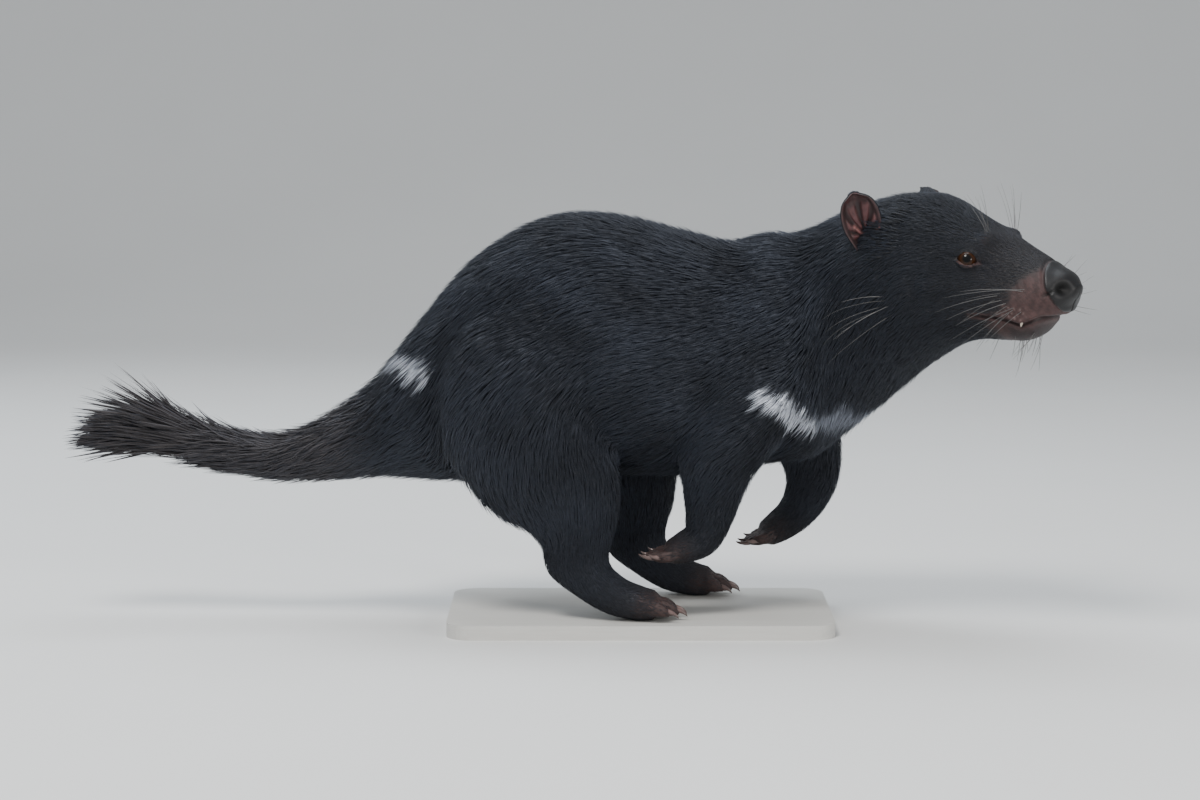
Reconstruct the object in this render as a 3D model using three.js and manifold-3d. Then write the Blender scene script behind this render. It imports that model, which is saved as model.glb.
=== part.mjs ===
// Tasmanian devil, life size, at the run: hind feet on the ground, forefeet lifted and folded back.
// Millimetres, +Z up, +X forward, +Y to the animal's left. The origin is under the middle of the stand.
// Every body part is a tube: rings of a few named sizes carried along the spine or along a leg.
// The trunk is laid out straight first and then bent at the neck, which turns the head to its right.

import * as THREE from "three";
import { mergeVertices } from "three/addons/utils/BufferGeometryUtils.js";
import Module from "manifold-3d";

const wasm = await Module();
wasm.setup();

// Driving dimensions
const GAP = 0.3; // clearance that neighbouring solids keep
const BASE = { length: 320, width: 190, thickness: 12, corner: 22 };
const GROUND = BASE.thickness; // height of the surface that the feet stand on
const BACK_HEIGHT = 334; // highest point of the back above the ground
const HEAD_TURN = THREE.MathUtils.degToRad(34);
const BEND = { from: 110, to: 215 }; // stretch of the straight spine that turns
const EYE = { x: 301, y: 34.5, z: 299, radius: 8.6 };
const EAR = { x: 221, y: 50, z: 303, height: 52, half: 21, wall: 2.6, depth: 11, sunk: 14 };
const BRUSH = { rows: 7, first: 4.15, last: 7.2, round: 8, reach: 1.75, width: 11.5, thick: 2.4 };
const HIND_STEP = 49; // how far the left hind foot stands ahead of the right one
const ROOT_DEPTH = 4; // how deep a lock's root is sunk
const LOCK_FORM = [
  { at: 0, wide: 0.75, deep: 1 },
  { at: 0.4, wide: 1, deep: 0.9 },
  { at: 0.75, wide: 0.62, deep: 0.7 },
];

// Heights are stated above the ground, so that the stand's thickness can change.
const above = (height) => GROUND + height;

const smooth = (t) => {
  const s = Math.min(1, Math.max(0, t));
  return s * s * (3 - 2 * s);
};

// The seeded generator that varies the locks: the same draw in every run.
function seeded(seed) {
  let state = seed >>> 0;
  return () => {
    state = (Math.imul(state, 1664525) + 1013904223) >>> 0;
    return state / 4294967296;
  };
}

// The neck's bend: a table of the bent spine, one entry for each millimetre of the straight one.
const SPINE = { start: -520, end: 440, points: [] };
{
  let x = SPINE.start;
  let y = 0;
  for (let s = SPINE.start; s <= SPINE.end; s += 1) {
    const turn = HEAD_TURN * smooth((s - BEND.from) / (BEND.to - BEND.from));
    SPINE.points.push({ x, y, turn });
    x += Math.cos(turn);
    y -= Math.sin(turn);
  }
}

// Carries a point of the straight animal into its place in the turned one.
function bend(p) {
  const at = Math.min(SPINE.points.length - 2, Math.max(0, p.x - SPINE.start));
  const i = Math.floor(at);
  const a = SPINE.points[i];
  const b = SPINE.points[i + 1];
  const k = at - i;
  const turn = a.turn + (b.turn - a.turn) * k;
  return new THREE.Vector3(
    a.x + (b.x - a.x) * k + p.y * Math.sin(turn),
    a.y + (b.y - a.y) * k + p.y * Math.cos(turn),
    p.z,
  );
}

// Smooth reading of a list of number rows between its entries (a Catmull-Rom spline in each column).
function readRows(rows, t) {
  const last = rows.length - 1;
  const i = Math.min(last - 1, Math.max(0, Math.floor(t)));
  const k = t - i;
  const a = rows[Math.max(0, i - 1)];
  const b = rows[i];
  const c = rows[i + 1];
  const d = rows[Math.min(last, i + 2)];
  return b.map((value, j) => {
    const into = (c[j] - a[j]) / 2;
    const out = (d[j] - value) / 2;
    const k2 = k * k;
    const k3 = k2 * k;
    return (
      value * (2 * k3 - 3 * k2 + 1) +
      into * (k3 - 2 * k2 + k) +
      c[j] * (3 * k2 - 2 * k3) +
      out * (k3 - k2)
    );
  });
}

// A tube is a list of stations and a function that turns one into a ring's centre and half axes.
class Tube {
  constructor(stations, rowOf, frameOf, place = (p) => p) {
    this.names = stations.map((s) => s.name);
    this.rows = stations.map(rowOf);
    this.frameOf = frameOf;
    this.place = place;
  }

  // The position of a named station along the tube.
  at(name) {
    const i = this.names.indexOf(name);
    if (i < 0) throw new Error("no station named " + name);
    return i;
  }

  frame(t) {
    return this.frameOf(this, t);
  }

  // A point of the skin in the straight animal. Angle 0 is the left side and a quarter turn is the top.
  flat(t, angle, grow = 0) {
    const f = this.frame(t);
    const power = 2 / f.square;
    const s = Math.sin(angle);
    const c = Math.cos(angle);
    const up = Math.sign(s) * Math.abs(s) ** power;
    const side = Math.sign(c) * Math.abs(c) ** power * (1 - f.pear * s);
    return f.centre
      .clone()
      .addScaledVector(f.up, up * (1 + grow / f.up.length()))
      .addScaledVector(f.side, side * (1 + grow / f.side.length()));
  }

  point(t, angle, grow = 0) {
    return this.place(this.flat(t, angle, grow));
  }

  // The outward direction of the skin, from two short steps along it.
  normal(t, angle) {
    const e = 0.02;
    const along = this.point(t + e, angle).sub(this.point(t - e, angle));
    const round = this.point(t, angle + e).sub(this.point(t, angle - e));
    const n = round.cross(along).normalize();
    const out = this.point(t, angle).sub(this.place(this.frame(t).centre.clone()));
    return n.dot(out) < 0 ? n.negate() : n;
  }

  // The way the tube runs at a point of its skin, towards its end.
  along(t, angle) {
    const e = 0.02;
    return this.point(t + e, angle).sub(this.point(t - e, angle)).normalize();
  }

  // The value of t that lies a distance in millimetres further along the middle line.
  shifted(t, distance) {
    const e = 0.01;
    const step = this.frame(t + e).centre.distanceTo(this.frame(t - e).centre) / (2 * e);
    return t + distance / step;
  }

  // The closed solid between two positions. Each end ring is moved in by half the gap, flat to the
  // end ring of the solid that it meets.
  solid(from, to, rings, sides, { grow = 0, trim = true } = {}) {
    const e = 0.01;
    const ring = (t, inwards) => {
      const step = this.frame(t + e).centre.sub(this.frame(t - e).centre).setLength(Math.abs(inwards));
      if (inwards < 0) step.negate();
      return Array.from({ length: sides }, (_, i) =>
        this.place(this.flat(t, ((i + 0.5) / sides) * 2 * Math.PI, grow).add(step)),
      );
    };
    const cut = trim ? GAP / 2 : 0;
    return closedRings(
      Array.from({ length: rings + 1 }, (_, j) =>
        ring(from + ((to - from) * j) / rings, j === 0 ? cut : j === rings ? -cut : 0),
      ),
    );
  }
}

// A manifold solid from merged triangles, turned right side out if need be.
function solidFrom(positions, triangles) {
  const corner = (i) => new THREE.Vector3().fromArray(positions, 3 * i);
  let volume = 0;
  for (let i = 0; i < triangles.length; i += 3)
    volume += corner(triangles[i]).dot(
      corner(triangles[i + 1]).cross(corner(triangles[i + 2])),
    );
  const triVerts = new Uint32Array(triangles);
  if (volume < 0)
    for (let i = 0; i < triVerts.length; i += 3)
      [triVerts[i + 1], triVerts[i + 2]] = [triVerts[i + 2], triVerts[i + 1]];
  return new wasm.Manifold(
    new wasm.Mesh({ numProp: 3, vertProperties: new Float32Array(positions), triVerts }),
  );
}

// The solid of a three.js geometry, with each vertex moved by a function first.
function solidOf(geometry, move = (p) => p) {
  geometry.deleteAttribute("normal");
  geometry.deleteAttribute("uv");
  const merged = mergeVertices(geometry, 1e-4);
  const p = merged.getAttribute("position");
  const moved = [];
  for (let i = 0; i < p.count; i++)
    moved.push(...move(new THREE.Vector3().fromBufferAttribute(p, i)).toArray());
  return solidFrom(moved, Array.from(merged.index.array));
}

// The solid through a row of rings of equal count, closed at both ends by a fan round the ring's middle,
// or at its far end by a fan to a given point.
function closedRings(rings, tip = null) {
  const sides = rings[0].length;
  const points = rings.flat();
  const triangles = [];
  for (let j = 0; j < rings.length - 1; j++)
    for (let i = 0; i < sides; i++) {
      const a = j * sides + i;
      const b = j * sides + ((i + 1) % sides);
      triangles.push(a, b, a + sides, b, b + sides, a + sides);
    }
  for (const [j, turned] of [[0, true], [rings.length - 1, false]]) {
    const middle = points.length;
    const sum = rings[j].reduce((total, p) => total.add(p), new THREE.Vector3());
    points.push(tip && !turned ? tip : sum.divideScalar(sides));
    for (let i = 0; i < sides; i++) {
      const a = j * sides + i;
      const b = j * sides + ((i + 1) % sides);
      triangles.push(...(turned ? [b, a, middle] : [a, b, middle]));
    }
  }
  return solidFrom(points.flatMap((p) => p.toArray()), triangles);
}

// A tapered rod along a row of points, with a radius at each and a rounded point at its end.
function taperedRod(points, radii, sides, flatten = 1, side = new THREE.Vector3(0, 1, 0)) {
  const last = points.length - 1;
  const rings = points.map((p, i) => {
    const way = points[Math.min(last, i + 1)].clone().sub(points[Math.max(0, i - 1)]).normalize();
    const across = side.clone().addScaledVector(way, -side.dot(way)).normalize();
    const up = way.clone().cross(across);
    return Array.from({ length: sides }, (_, k) => {
      const a = (k / sides) * 2 * Math.PI;
      return p
        .clone()
        .addScaledVector(across, radii[i] * Math.cos(a))
        .addScaledVector(up, radii[i] * flatten * Math.sin(a));
    });
  });
  return closedRings(rings);
}

// A flat, tapered lock of hair from a root point to its tip, which rises outwards and bends back over.
// It is flat below and has a low ridge above.
function lock(root, tip, out, { width, thick, rise }) {
  const way = tip.clone().sub(root);
  const side = way.clone().cross(out).normalize();
  const over = side.clone().cross(way).normalize();
  const bow = root.clone().addScaledVector(way, 0.5).addScaledVector(out, rise * way.length());
  const along = (k) =>
    root
      .clone()
      .multiplyScalar((1 - k) * (1 - k))
      .addScaledVector(bow, 2 * k * (1 - k))
      .addScaledVector(tip, k * k);
  const rings = LOCK_FORM.map(({ at, wide, deep }) => {
    const middle = along(at);
    const corners = [[-0.5 * width, -0.35 * thick], [0.5 * width, -0.35 * thick], [0, 0.65 * thick]];
    return corners.map(([a, b]) =>
      middle.clone().addScaledVector(side, wide * a).addScaledVector(over, deep * b),
    );
  });
  return closedRings(rings, tip);
}

const union = (solids) => wasm.Manifold.union(solids);

// The largest closed body of a solid, without sealed hollows or scraps.
function largest(solid) {
  const bodies = solid.decompose();
  return bodies.reduce((best, b) => (b.volume() > best.volume() ? b : best));
}

// The trunk, from the root of the tail to the nose, in the straight animal.
// back and belly are [forward, height above ground]; half is half the width; square is 2 for an ellipse;
// pear narrows the upper part of the ring.
const TRUNK_STATIONS = [
  { name: "tail_root", back: [-225, 191], belly: [-204, 111], half: 38, square: 2, pear: 0 },
  { name: "croup", back: [-200, 222], belly: [-168, 108], half: 56, square: 2.1, pear: 0.02 },
  { name: "pelvis", back: [-174, 256], belly: [-118, 109], half: 68, square: 2.2, pear: 0.05 },
  { name: "hip", back: [-146, 290], belly: [-67, 112], half: 77, square: 2.2, pear: 0.08 },
  { name: "loin", back: [-109, 318], belly: [-34, 113], half: 83, square: 2.2, pear: 0.1 },
  { name: "back_top", back: [-67, BACK_HEIGHT], belly: [-8, 113], half: 87, square: 2.2, pear: 0.12 },
  { name: "ribs", back: [-25, BACK_HEIGHT], belly: [14, 112.5], half: 88, square: 2.2, pear: 0.12 },
  { name: "chest", back: [12, 326], belly: [38, 112.5], half: 87, square: 2.2, pear: 0.12 },
  { name: "girth", back: [50, 316], belly: [63, 114], half: 84, square: 2.2, pear: 0.12 },
  { name: "withers", back: [78, 311], belly: [88, 120], half: 81, square: 2.2, pear: 0.12 },
  { name: "shoulder", back: [104, 318], belly: [116, 123], half: 79, square: 2.2, pear: 0.1 },
  { name: "breast", back: [129, 318], belly: [145, 127], half: 75, square: 2.2, pear: 0.06 },
  { name: "neck", back: [152, 326], belly: [174, 150], half: 70, square: 2.2, pear: 0.02 },
  { name: "throat", back: [170, 335], belly: [204, 175], half: 67, square: 2.2, pear: 0.02 },
  { name: "nape", back: [192, 343], belly: [232, 198], half: 66, square: 2.2, pear: 0.04 },
  { name: "crown", back: [216, 348.5], belly: [247, 209], half: 66, square: 2.2, pear: 0.08 },
  { name: "jowl", back: [240, 352], belly: [262, 219], half: 65, square: 2.2, pear: 0.1 },
  { name: "cheek", back: [258, 352], belly: [273, 225], half: 61, square: 2.2, pear: 0.12 },
  { name: "temple", back: [272, 347.5], belly: [284, 229.5], half: 55, square: 2.2, pear: 0.13 },
  { name: "brow", back: [286, 340], belly: [296, 232.5], half: 48.5, square: 2.25, pear: 0.13 },
  { name: "eye", back: [299, 333], belly: [306, 233.9], half: 43, square: 2.3, pear: 0.13 },
  { name: "stop", back: [313, 326], belly: [318, 233.6], half: 38.5, square: 2.3, pear: 0.14 },
  { name: "bridge", back: [327, 318.5], belly: [329, 233.3], half: 35.5, square: 2.3, pear: 0.16 },
  { name: "muzzle", back: [340, 310.8], belly: [341, 234], half: 32.5, square: 2.3, pear: 0.18 },
  { name: "lips", back: [353, 303.6], belly: [352.6, 240], half: 29.5, square: 2.3, pear: 0.18 },
  { name: "nose_back", back: [366.5, 296], belly: [363, 253], half: 25, square: 2.2, pear: 0.14 },
  { name: "nose_front", back: [377.5, 290], belly: [375, 260], half: 19, square: 2.1, pear: 0.1 },
  { name: "nose_tip", back: [383.5, 282], belly: [381, 269], half: 9, square: 2, pear: 0 },
];

const trunk = new Tube(
  TRUNK_STATIONS,
  (s) => [s.back[0], above(s.back[1]), s.belly[0], above(s.belly[1]), s.half, s.square, s.pear],
  (tube, t) => {
    const [bx, bz, ux, uz, half, square, pear] = readRows(tube.rows, t);
    return {
      centre: new THREE.Vector3((bx + ux) / 2, 0, (bz + uz) / 2),
      up: new THREE.Vector3((bx - ux) / 2, 0, (bz - uz) / 2),
      side: new THREE.Vector3(0, half, 0),
      square,
      pear,
    };
  },
  bend,
);

// The tail, from its root backwards, out to the tips of its long hair.
const TAIL_STATIONS = [
  { name: "root", back: [-225, 191], belly: [-204, 111], half: 38 },
  { name: "thick", back: [-252, 170], belly: [-239, 109], half: 28 },
  { name: "middle", back: [-282, 154], belly: [-276, 108], half: 22.5 },
  { name: "slim", back: [-311, 148], belly: [-311.5, 109], half: 19.5 },
  { name: "bow", back: [-340.5, 153], belly: [-349.5, 115], half: 18.5 },
  { name: "brush", back: [-370, 163], belly: [-379, 121], half: 20 },
  { name: "fan", back: [-399, 177], belly: [-408, 124], half: 21 },
  { name: "fringe", back: [-428, 172], belly: [-433, 127], half: 16 },
  { name: "wisps", back: [-454, 155], belly: [-456, 134], half: 8.5 },
  { name: "tip", back: [-474, 143.5], belly: [-474.5, 141.5], half: 1.5 },
];

const tail = new Tube(
  TAIL_STATIONS,
  (s) => [s.back[0], above(s.back[1]), s.belly[0], above(s.belly[1]), s.half],
  (tube, t) => {
    const [bx, bz, ux, uz, half] = readRows(tube.rows, t);
    return {
      centre: new THREE.Vector3((bx + ux) / 2, 0, (bz + uz) / 2),
      up: new THREE.Vector3((bx - ux) / 2, 0, (bz - uz) / 2),
      side: new THREE.Vector3(0, half, 0),
      square: 2,
      pear: 0,
    };
  },
);

// The share of the tail's outline that its flesh fills: all of it up to the brush, then half.
const tailCore = (t) => 1 - 0.52 * smooth((t - tail.at("bow")) / (tail.at("fan") - tail.at("bow")));

// A point of the tail between its middle line (0) and the tips of its hair (1).
function tailPoint(t, angle, share) {
  const middle = tail.frame(t).centre;
  return middle.clone().lerp(tail.point(t, angle), share);
}

// The brush: rows of locks that leave the flesh of the tail and end on its outline.
function brush(random) {
  const locks = [];
  const { rows, first, last, round, reach } = BRUSH;
  for (let row = 0; row < rows; row++) {
    const t = first + ((last - first) * row) / (rows - 1);
    for (let i = 0; i < round; i++) {
      const angle = ((i + (row % 2) / 2 + 0.3 * (random() - 0.5)) / round) * 2 * Math.PI;
      const top = Math.max(0, Math.sin(angle));
      const end = Math.min(tail.at("tip") - 0.15 * random(), t + reach * (0.85 + 0.3 * random()));
      const past = 1 + (0.12 + 0.16 * top) * random();
      const root = tailPoint(t, angle, tailCore(t));
      const middle = tail.frame(t).centre;
      const out = root.clone().sub(middle).normalize();
      const turn = angle + 0.25 * (random() - 0.5);
      locks.push(
        lock(root.addScaledVector(out, -ROOT_DEPTH), tailPoint(end, turn, past), out, {
          width: BRUSH.width * (0.85 + 0.3 * random()),
          thick: BRUSH.thick,
          rise: 0.05 + 0.06 * random(),
        }),
      );
    }
  }
  return locks;
}

// A fringe: locks that lie along a tube and stand a little off it. flow is 1 towards the tube's end.
function fringe(tube, random, { from, to, angle, spread, rows, round, length, lift, width, thick, flow }) {
  const locks = [];
  for (let row = 0; row < rows; row++) {
    for (let i = 0; i < round; i++) {
      const t = from + ((to - from) * (row + 0.3 * random())) / Math.max(1, rows - 1);
      const place = (i + (row % 2) / 2 + 0.3 * random()) / round;
      const a = angle + spread * (2 * place - 1);
      const end = tube.shifted(t, flow * length * (0.85 + 0.3 * random()));
      const out = tube.normal(t, a);
      locks.push(
        lock(
          tube.point(t, a).addScaledVector(out, -ROOT_DEPTH),
          tube.point(end, a + 0.1 * (random() - 0.5)).addScaledVector(out, lift * (0.8 + 0.4 * random())),
          out,
          { width, thick, rise: 0.1 },
        ),
      );
    }
  }
  return locks;
}

// A leg is a tube whose rings stand square to its middle line. deep is half its size fore and aft,
// or top to sole in the foot, and wide is half its size across.
function limb(stations, side) {
  return new Tube(
    stations,
    (s) => [s.at[0], s.at[1] * side, above(s.at[2]), s.deep, s.wide],
    (tube, t) => {
      const [x, y, z, deep, wide] = readRows(tube.rows, t);
      const last = tube.rows.length - 1;
      const near = readRows(tube.rows, Math.max(0, t - 0.3));
      const far = readRows(tube.rows, Math.min(last, t + 0.3));
      const way = new THREE.Vector3(far[0] - near[0], far[1] - near[1], far[2] - near[2]);
      way.normalize();
      const across = new THREE.Vector3(0, 1, 0).addScaledVector(way, -way.y).normalize();
      return {
        centre: new THREE.Vector3(x, y, z),
        up: way.clone().cross(across).multiplyScalar(deep),
        side: across.multiplyScalar(wide),
        square: 2.1,
        pear: 0,
      };
    },
  );
}

// Hind leg. step moves the foot forward and the hip by a part of that.
const HIND_STATIONS = (step) => [
  { name: "hip", at: [-92 + 0.2 * step, 24, 250], deep: 40, wide: 30 },
  { name: "haunch", at: [-98 + 0.35 * step, 51, 212], deep: 66, wide: 44 },
  { name: "thigh", at: [-99 + 0.6 * step, 58, 170], deep: 72, wide: 42 },
  { name: "stifle", at: [-85 + 0.85 * step, 60, 136], deep: 61, wide: 36 },
  { name: "calf", at: [-65 + step, 61, 109], deep: 52.5, wide: 28.5 },
  { name: "shin", at: [-55 + step, 61, 82], deep: 39, wide: 22.5 },
  { name: "hock", at: [-52.5 + step, 62, 61.5], deep: 29, wide: 18.5 },
  { name: "heel", at: [-51 + step, 62, 50], deep: 28, wide: 18 },
  { name: "instep", at: [-39 + step, 62, 32.5], deep: 19.5, wide: 17 },
  { name: "sole", at: [-20.5 + step, 62, 19.5], deep: 16.5, wide: 18.5 },
  { name: "ball", at: [-1 + step, 62, 13.5], deep: 14, wide: 21 },
  { name: "toes", at: [13 + step, 62, 11.8], deep: 11.8, wide: 20.5 },
];

const RIGHT = -1;
const LEFT = 1;

// The right foreleg hangs folded below the shoulder, and the left one reaches forward.
const FORE_STATIONS = {
  right: [
    { name: "blade", at: [92, 30, 236], deep: 34, wide: 26 },
    { name: "shoulder", at: [90, 56, 200], deep: 46, wide: 34 },
    { name: "upper_arm", at: [76, 61, 165], deep: 44, wide: 30 },
    { name: "elbow", at: [64, 60, 136], deep: 36, wide: 25 },
    { name: "forearm", at: [60, 55, 109], deep: 27, wide: 20 },
    { name: "pastern", at: [57, 53, 86], deep: 21, wide: 17 },
    { name: "wrist", at: [50, 52, 66.5], deep: 16.5, wide: 15.5 },
    { name: "palm", at: [35, 52, 58], deep: 13, wide: 17 },
    { name: "toes", at: [23, 52, 53.5], deep: 9.5, wide: 17.5 },
  ],
  left: [
    { name: "blade", at: [112, 30, 234], deep: 34, wide: 26 },
    { name: "shoulder", at: [122, 53, 198], deep: 42, wide: 33 },
    { name: "upper_arm", at: [137, 56, 160], deep: 37, wide: 28 },
    { name: "elbow", at: [146, 54, 130], deep: 29, wide: 23 },
    { name: "forearm", at: [149, 51, 106], deep: 24, wide: 18.5 },
    { name: "pastern", at: [143, 50, 86], deep: 19.5, wide: 16.5 },
    { name: "wrist", at: [132, 50, 70.5], deep: 16, wide: 15.5 },
    { name: "palm", at: [119, 50, 60.5], deep: 13.5, wide: 17 },
    { name: "toes", at: [107.5, 50, 53.5], deep: 10.5, wide: 17.5 },
  ],
};

// A toe with its claw: two joints of flesh and a curved, tapering claw at the end.
function toe({ from, way, down, length, thick, claw }) {
  const middle = from.clone().addScaledVector(way, length * 0.55).addScaledVector(down, -1.4);
  const end = from.clone().addScaledVector(way, length).addScaledVector(down, 1.6);
  const side = way.clone().cross(down).normalize();
  const flesh = taperedRod(
    [from, middle, end.clone().addScaledVector(way, thick * 0.5)],
    [thick, thick * 1.05, thick * 0.5],
    6,
    1.2,
    side,
  );
  const nailPoints = [-2, 6, claw].map((d, i) =>
    end
      .clone()
      .addScaledVector(way, d)
      .addScaledVector(down, -thick * 0.3 + [0, 0.9, 5][i]),
  );
  const nail = taperedRod(nailPoints, [2.2, 1.8, 0.5], 4, 1.3, side);
  return union([flesh, nail]);
}

// The toes of a foot, fanned about its middle line and joined to the foot's own solid.
function withToes(foot, tube, side, { count, spread, fan, length, thick, claw, tilt, lift }) {
  const t = tube.rows.length - 1;
  const frame = tube.frame(t);
  const before = tube.frame(t - 0.6).centre;
  const way = frame.centre.clone().sub(before).normalize();
  const across = frame.side.clone().normalize().multiplyScalar(side);
  const top = frame.up.clone().normalize();
  const sole = top.z > 0 === tilt.soleDown ? top.clone().negate() : top.clone();
  const made = [foot];
  for (let i = 0; i < count; i++) {
    const place = (i - (count - 1) / 2) / ((count - 1) / 2);
    const outer = 1 - 0.16 * place * place;
    const heading = way
      .clone()
      .addScaledVector(across, fan * place)
      .addScaledVector(sole, tilt.dip)
      .normalize();
    const down = sole.clone().addScaledVector(heading, -sole.dot(heading)).normalize();
    made.push(
      toe({
        from: frame.centre
          .clone()
          .addScaledVector(across, spread * place)
          .addScaledVector(way, -4 - 5 * place * place)
          .addScaledVector(sole, -lift),
        way: heading,
        down,
        length: length * outer,
        thick: thick * (1 - 0.08 * Math.abs(place)),
        claw,
      }),
    );
  }
  return union(made);
}

// Blocks that part the head, drawn as side outlines in the straight animal and pushed through it.
function sideBlock(outline, lift = 0) {
  const shape = new THREE.Shape(outline.map(([x, z]) => new THREE.Vector2(x, above(z) + lift)));
  const depth = 200;
  const geometry = new THREE.ExtrudeGeometry(shape, { depth, bevelEnabled: false });
  return solidOf(geometry, (p) => bend(new THREE.Vector3(p.x, depth / 2 - p.z, p.y)));
}

// The mouth, from the front of the lips to its corner, as [forward, height above ground].
const MOUTH_LINE = [
  [372, 255],
  [360, 254.5],
  [352, 250.5],
  [346, 248.5],
  [336, 252],
  [326, 254],
  [306, 255.5],
];
const JAW_HINGE = [[294, 250], [282, 240], [274, 224], [268, 200]];
const JAW_BLOCK = [...MOUTH_LINE, ...JAW_HINGE, [410, 200], [410, 256]];
const NOSE_SEAM = [[357, 305], [359, 290], [362.5, 275], [369, 262], [373, 252]];
const NOSE_BLOCK = [...NOSE_SEAM, [420, 240], [420, 320], [355, 320]];

// The lengths that the trunk is divided into, each with its count of rings and sides.
const TRUNK_PARTS = {
  rump: { from: "tail_root", to: "loin", rings: 8, sides: 28 },
  torso: { from: "loin", to: "girth", rings: 8, sides: 28 },
  shoulders: { from: "girth", to: "breast", rings: 6, sides: 28 },
  neck: { from: "breast", to: "nape", rings: 6, sides: 28 },
  head: { from: "nape", to: "nose_tip", rings: 26, sides: 24 },
};

function trunkPart(name, options) {
  const part = TRUNK_PARTS[name];
  return trunk.solid(trunk.at(part.from), trunk.at(part.to), part.rings, part.sides, options);
}

// The trunk's whole outline with its clearance, cut away from what grows from it.
const trunkClear = union(
  Object.keys(TRUNK_PARTS).map((name) => trunkPart(name, { grow: GAP * 1.1, trim: false })),
);

// The distance of the trunk's skin from the middle plane at a place in the side view.
function halfWidthAt(x, z) {
  let best = { miss: Infinity, y: 0 };
  for (let t = trunk.at("nape"); t <= trunk.at("nose_tip"); t += 0.1)
    for (let a = -Math.PI / 2; a <= Math.PI / 2; a += 0.06) {
      const p = trunk.flat(t, a);
      const miss = Math.hypot(p.x - x, p.z - z);
      if (miss < best.miss) best = { miss, y: p.y };
    }
  return best.y;
}

// A ball that may be stretched, in the straight head, at its turned place.
function headBall(x, y, z, rx, ry, rz, detail = [14, 10]) {
  return solidOf(new THREE.SphereGeometry(1, ...detail), (p) =>
    bend(new THREE.Vector3(x + p.x * rx, y + p.y * ry, above(z) + p.z * rz)),
  );
}

// The eye looks forward and out. Its lids are two arcs round the opening, on a ball just over the eye.
function eyelids(side) {
  const centre = new THREE.Vector3(EYE.x, side * EYE.y, above(EYE.z));
  const look = new THREE.Vector3(0.42, side * 0.87, 0.24).normalize();
  const long = new THREE.Vector3(-0.88, side * 0.4, 0.2);
  long.addScaledVector(look, -long.dot(look)).normalize();
  const high = look.clone().cross(long).normalize();
  if (high.z < 0) high.negate();
  const over = EYE.radius + 0.5;
  const steps = 6;
  const arc = (height) =>
    Array.from({ length: steps + 1 }, (_, i) => {
      const s = -1 + (2 * i) / steps;
      const a = 8.8 * s;
      const b = height * (1 - s * s);
      const out = Math.sqrt(Math.max(1, over * over - a * a - b * b));
      return bend(
        centre.clone().addScaledVector(long, a).addScaledVector(high, b).addScaledVector(look, out),
      );
    });
  const outward = new THREE.Vector3(0, side, 0);
  const thickness = [1.2, 1.8, 2, 2.1, 2, 1.8, 1.2];
  return [arc(5.6), arc(-4.4)].map((points) => taperedRod(points, thickness, 6, 1, outward));
}

// The upper lip hangs as a soft rim along the mouth, from its front to the corner.
function upperLip(side) {
  const points = MOUTH_LINE.slice(1).map(([x, z]) => {
    const y = halfWidthAt(x, above(z + 2.5));
    return bend(new THREE.Vector3(x, side * (y - 1), above(z + 2.6)));
  });
  const radii = points.map((_, i) => (i === points.length - 1 ? 1.2 : 2.3));
  return taperedRod(points, radii, 6, 1.1, new THREE.Vector3(0, 0, 1));
}

// An ear: a rounded leaf of skin, cupped forward and out, with a rim.
function ear(side) {
  const root = new THREE.Vector3(EAR.x, side * EAR.y, above(EAR.z));
  const up = new THREE.Vector3(-0.16, side * 0.3, 0.94).normalize();
  const face = new THREE.Vector3(0.5, side * 0.86, 0.1);
  face.addScaledVector(up, -face.dot(up)).normalize();
  const across = up.clone().cross(face).normalize();
  const columns = 8;
  const rows = 10;
  const widest = 0.56;
  const half = (v) => {
    const over = Math.max(0, (v - widest) / (1 - widest));
    return EAR.half * (0.6 + 0.4 * smooth(v / widest)) * Math.max(0.12, 1 - over ** 2.6) ** 0.5;
  };
  const leaf = (u, v, back) => {
    const cup = EAR.depth * (1 - 0.45 * v) * (1 - u * u);
    const wall = back ? EAR.wall * (1.5 - 0.7 * v) : 0;
    const height = -EAR.sunk + (EAR.height + EAR.sunk) * v;
    return bend(
      root
        .clone()
        .addScaledVector(up, height)
        .addScaledVector(across, u * half(Math.max(0, height / EAR.height)) * (back ? 1 : 0.9))
        .addScaledVector(face, -cup - wall + 0.12 * EAR.depth),
    );
  };
  // Each ring goes up the front of the leaf and back down behind it.
  const rings = Array.from({ length: rows + 1 }, (_, j) => {
    const v = j / rows;
    const front = Array.from({ length: columns + 1 }, (_, i) => leaf(-1 + (2 * i) / columns, v, false));
    const behind = Array.from({ length: columns + 1 }, (_, i) => leaf(1 - (2 * i) / columns, v, true));
    return [...front, ...behind];
  });
  return closedRings(rings);
}

// Assembly
const MATERIALS = {
  coat: new THREE.MeshStandardMaterial({ color: 0x1b1c21, roughness: 0.85, metalness: 0 }),
  bare: new THREE.MeshStandardMaterial({ color: 0x3f2b2a, roughness: 0.6, metalness: 0 }),
  nose: new THREE.MeshStandardMaterial({ color: 0x141315, roughness: 0.35, metalness: 0 }),
  eye: new THREE.MeshStandardMaterial({ color: 0x3a1d0c, roughness: 0.08, metalness: 0 }),
  stand: new THREE.MeshStandardMaterial({ color: 0xb9b4aa, roughness: 0.55, metalness: 0 }),
};

const animal = new THREE.Group();
animal.name = "tasmanian_devil";

function add(name, solid, material) {
  const mesh = largest(solid).getMesh();
  const geometry = new THREE.BufferGeometry();
  geometry.setAttribute("position", new THREE.BufferAttribute(mesh.vertProperties, 3));
  geometry.setIndex(new THREE.BufferAttribute(mesh.triVerts, 1));
  geometry.computeVertexNormals();
  const node = new THREE.Mesh(geometry, MATERIALS[material]);
  node.name = name;
  animal.add(node);
}

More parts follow.
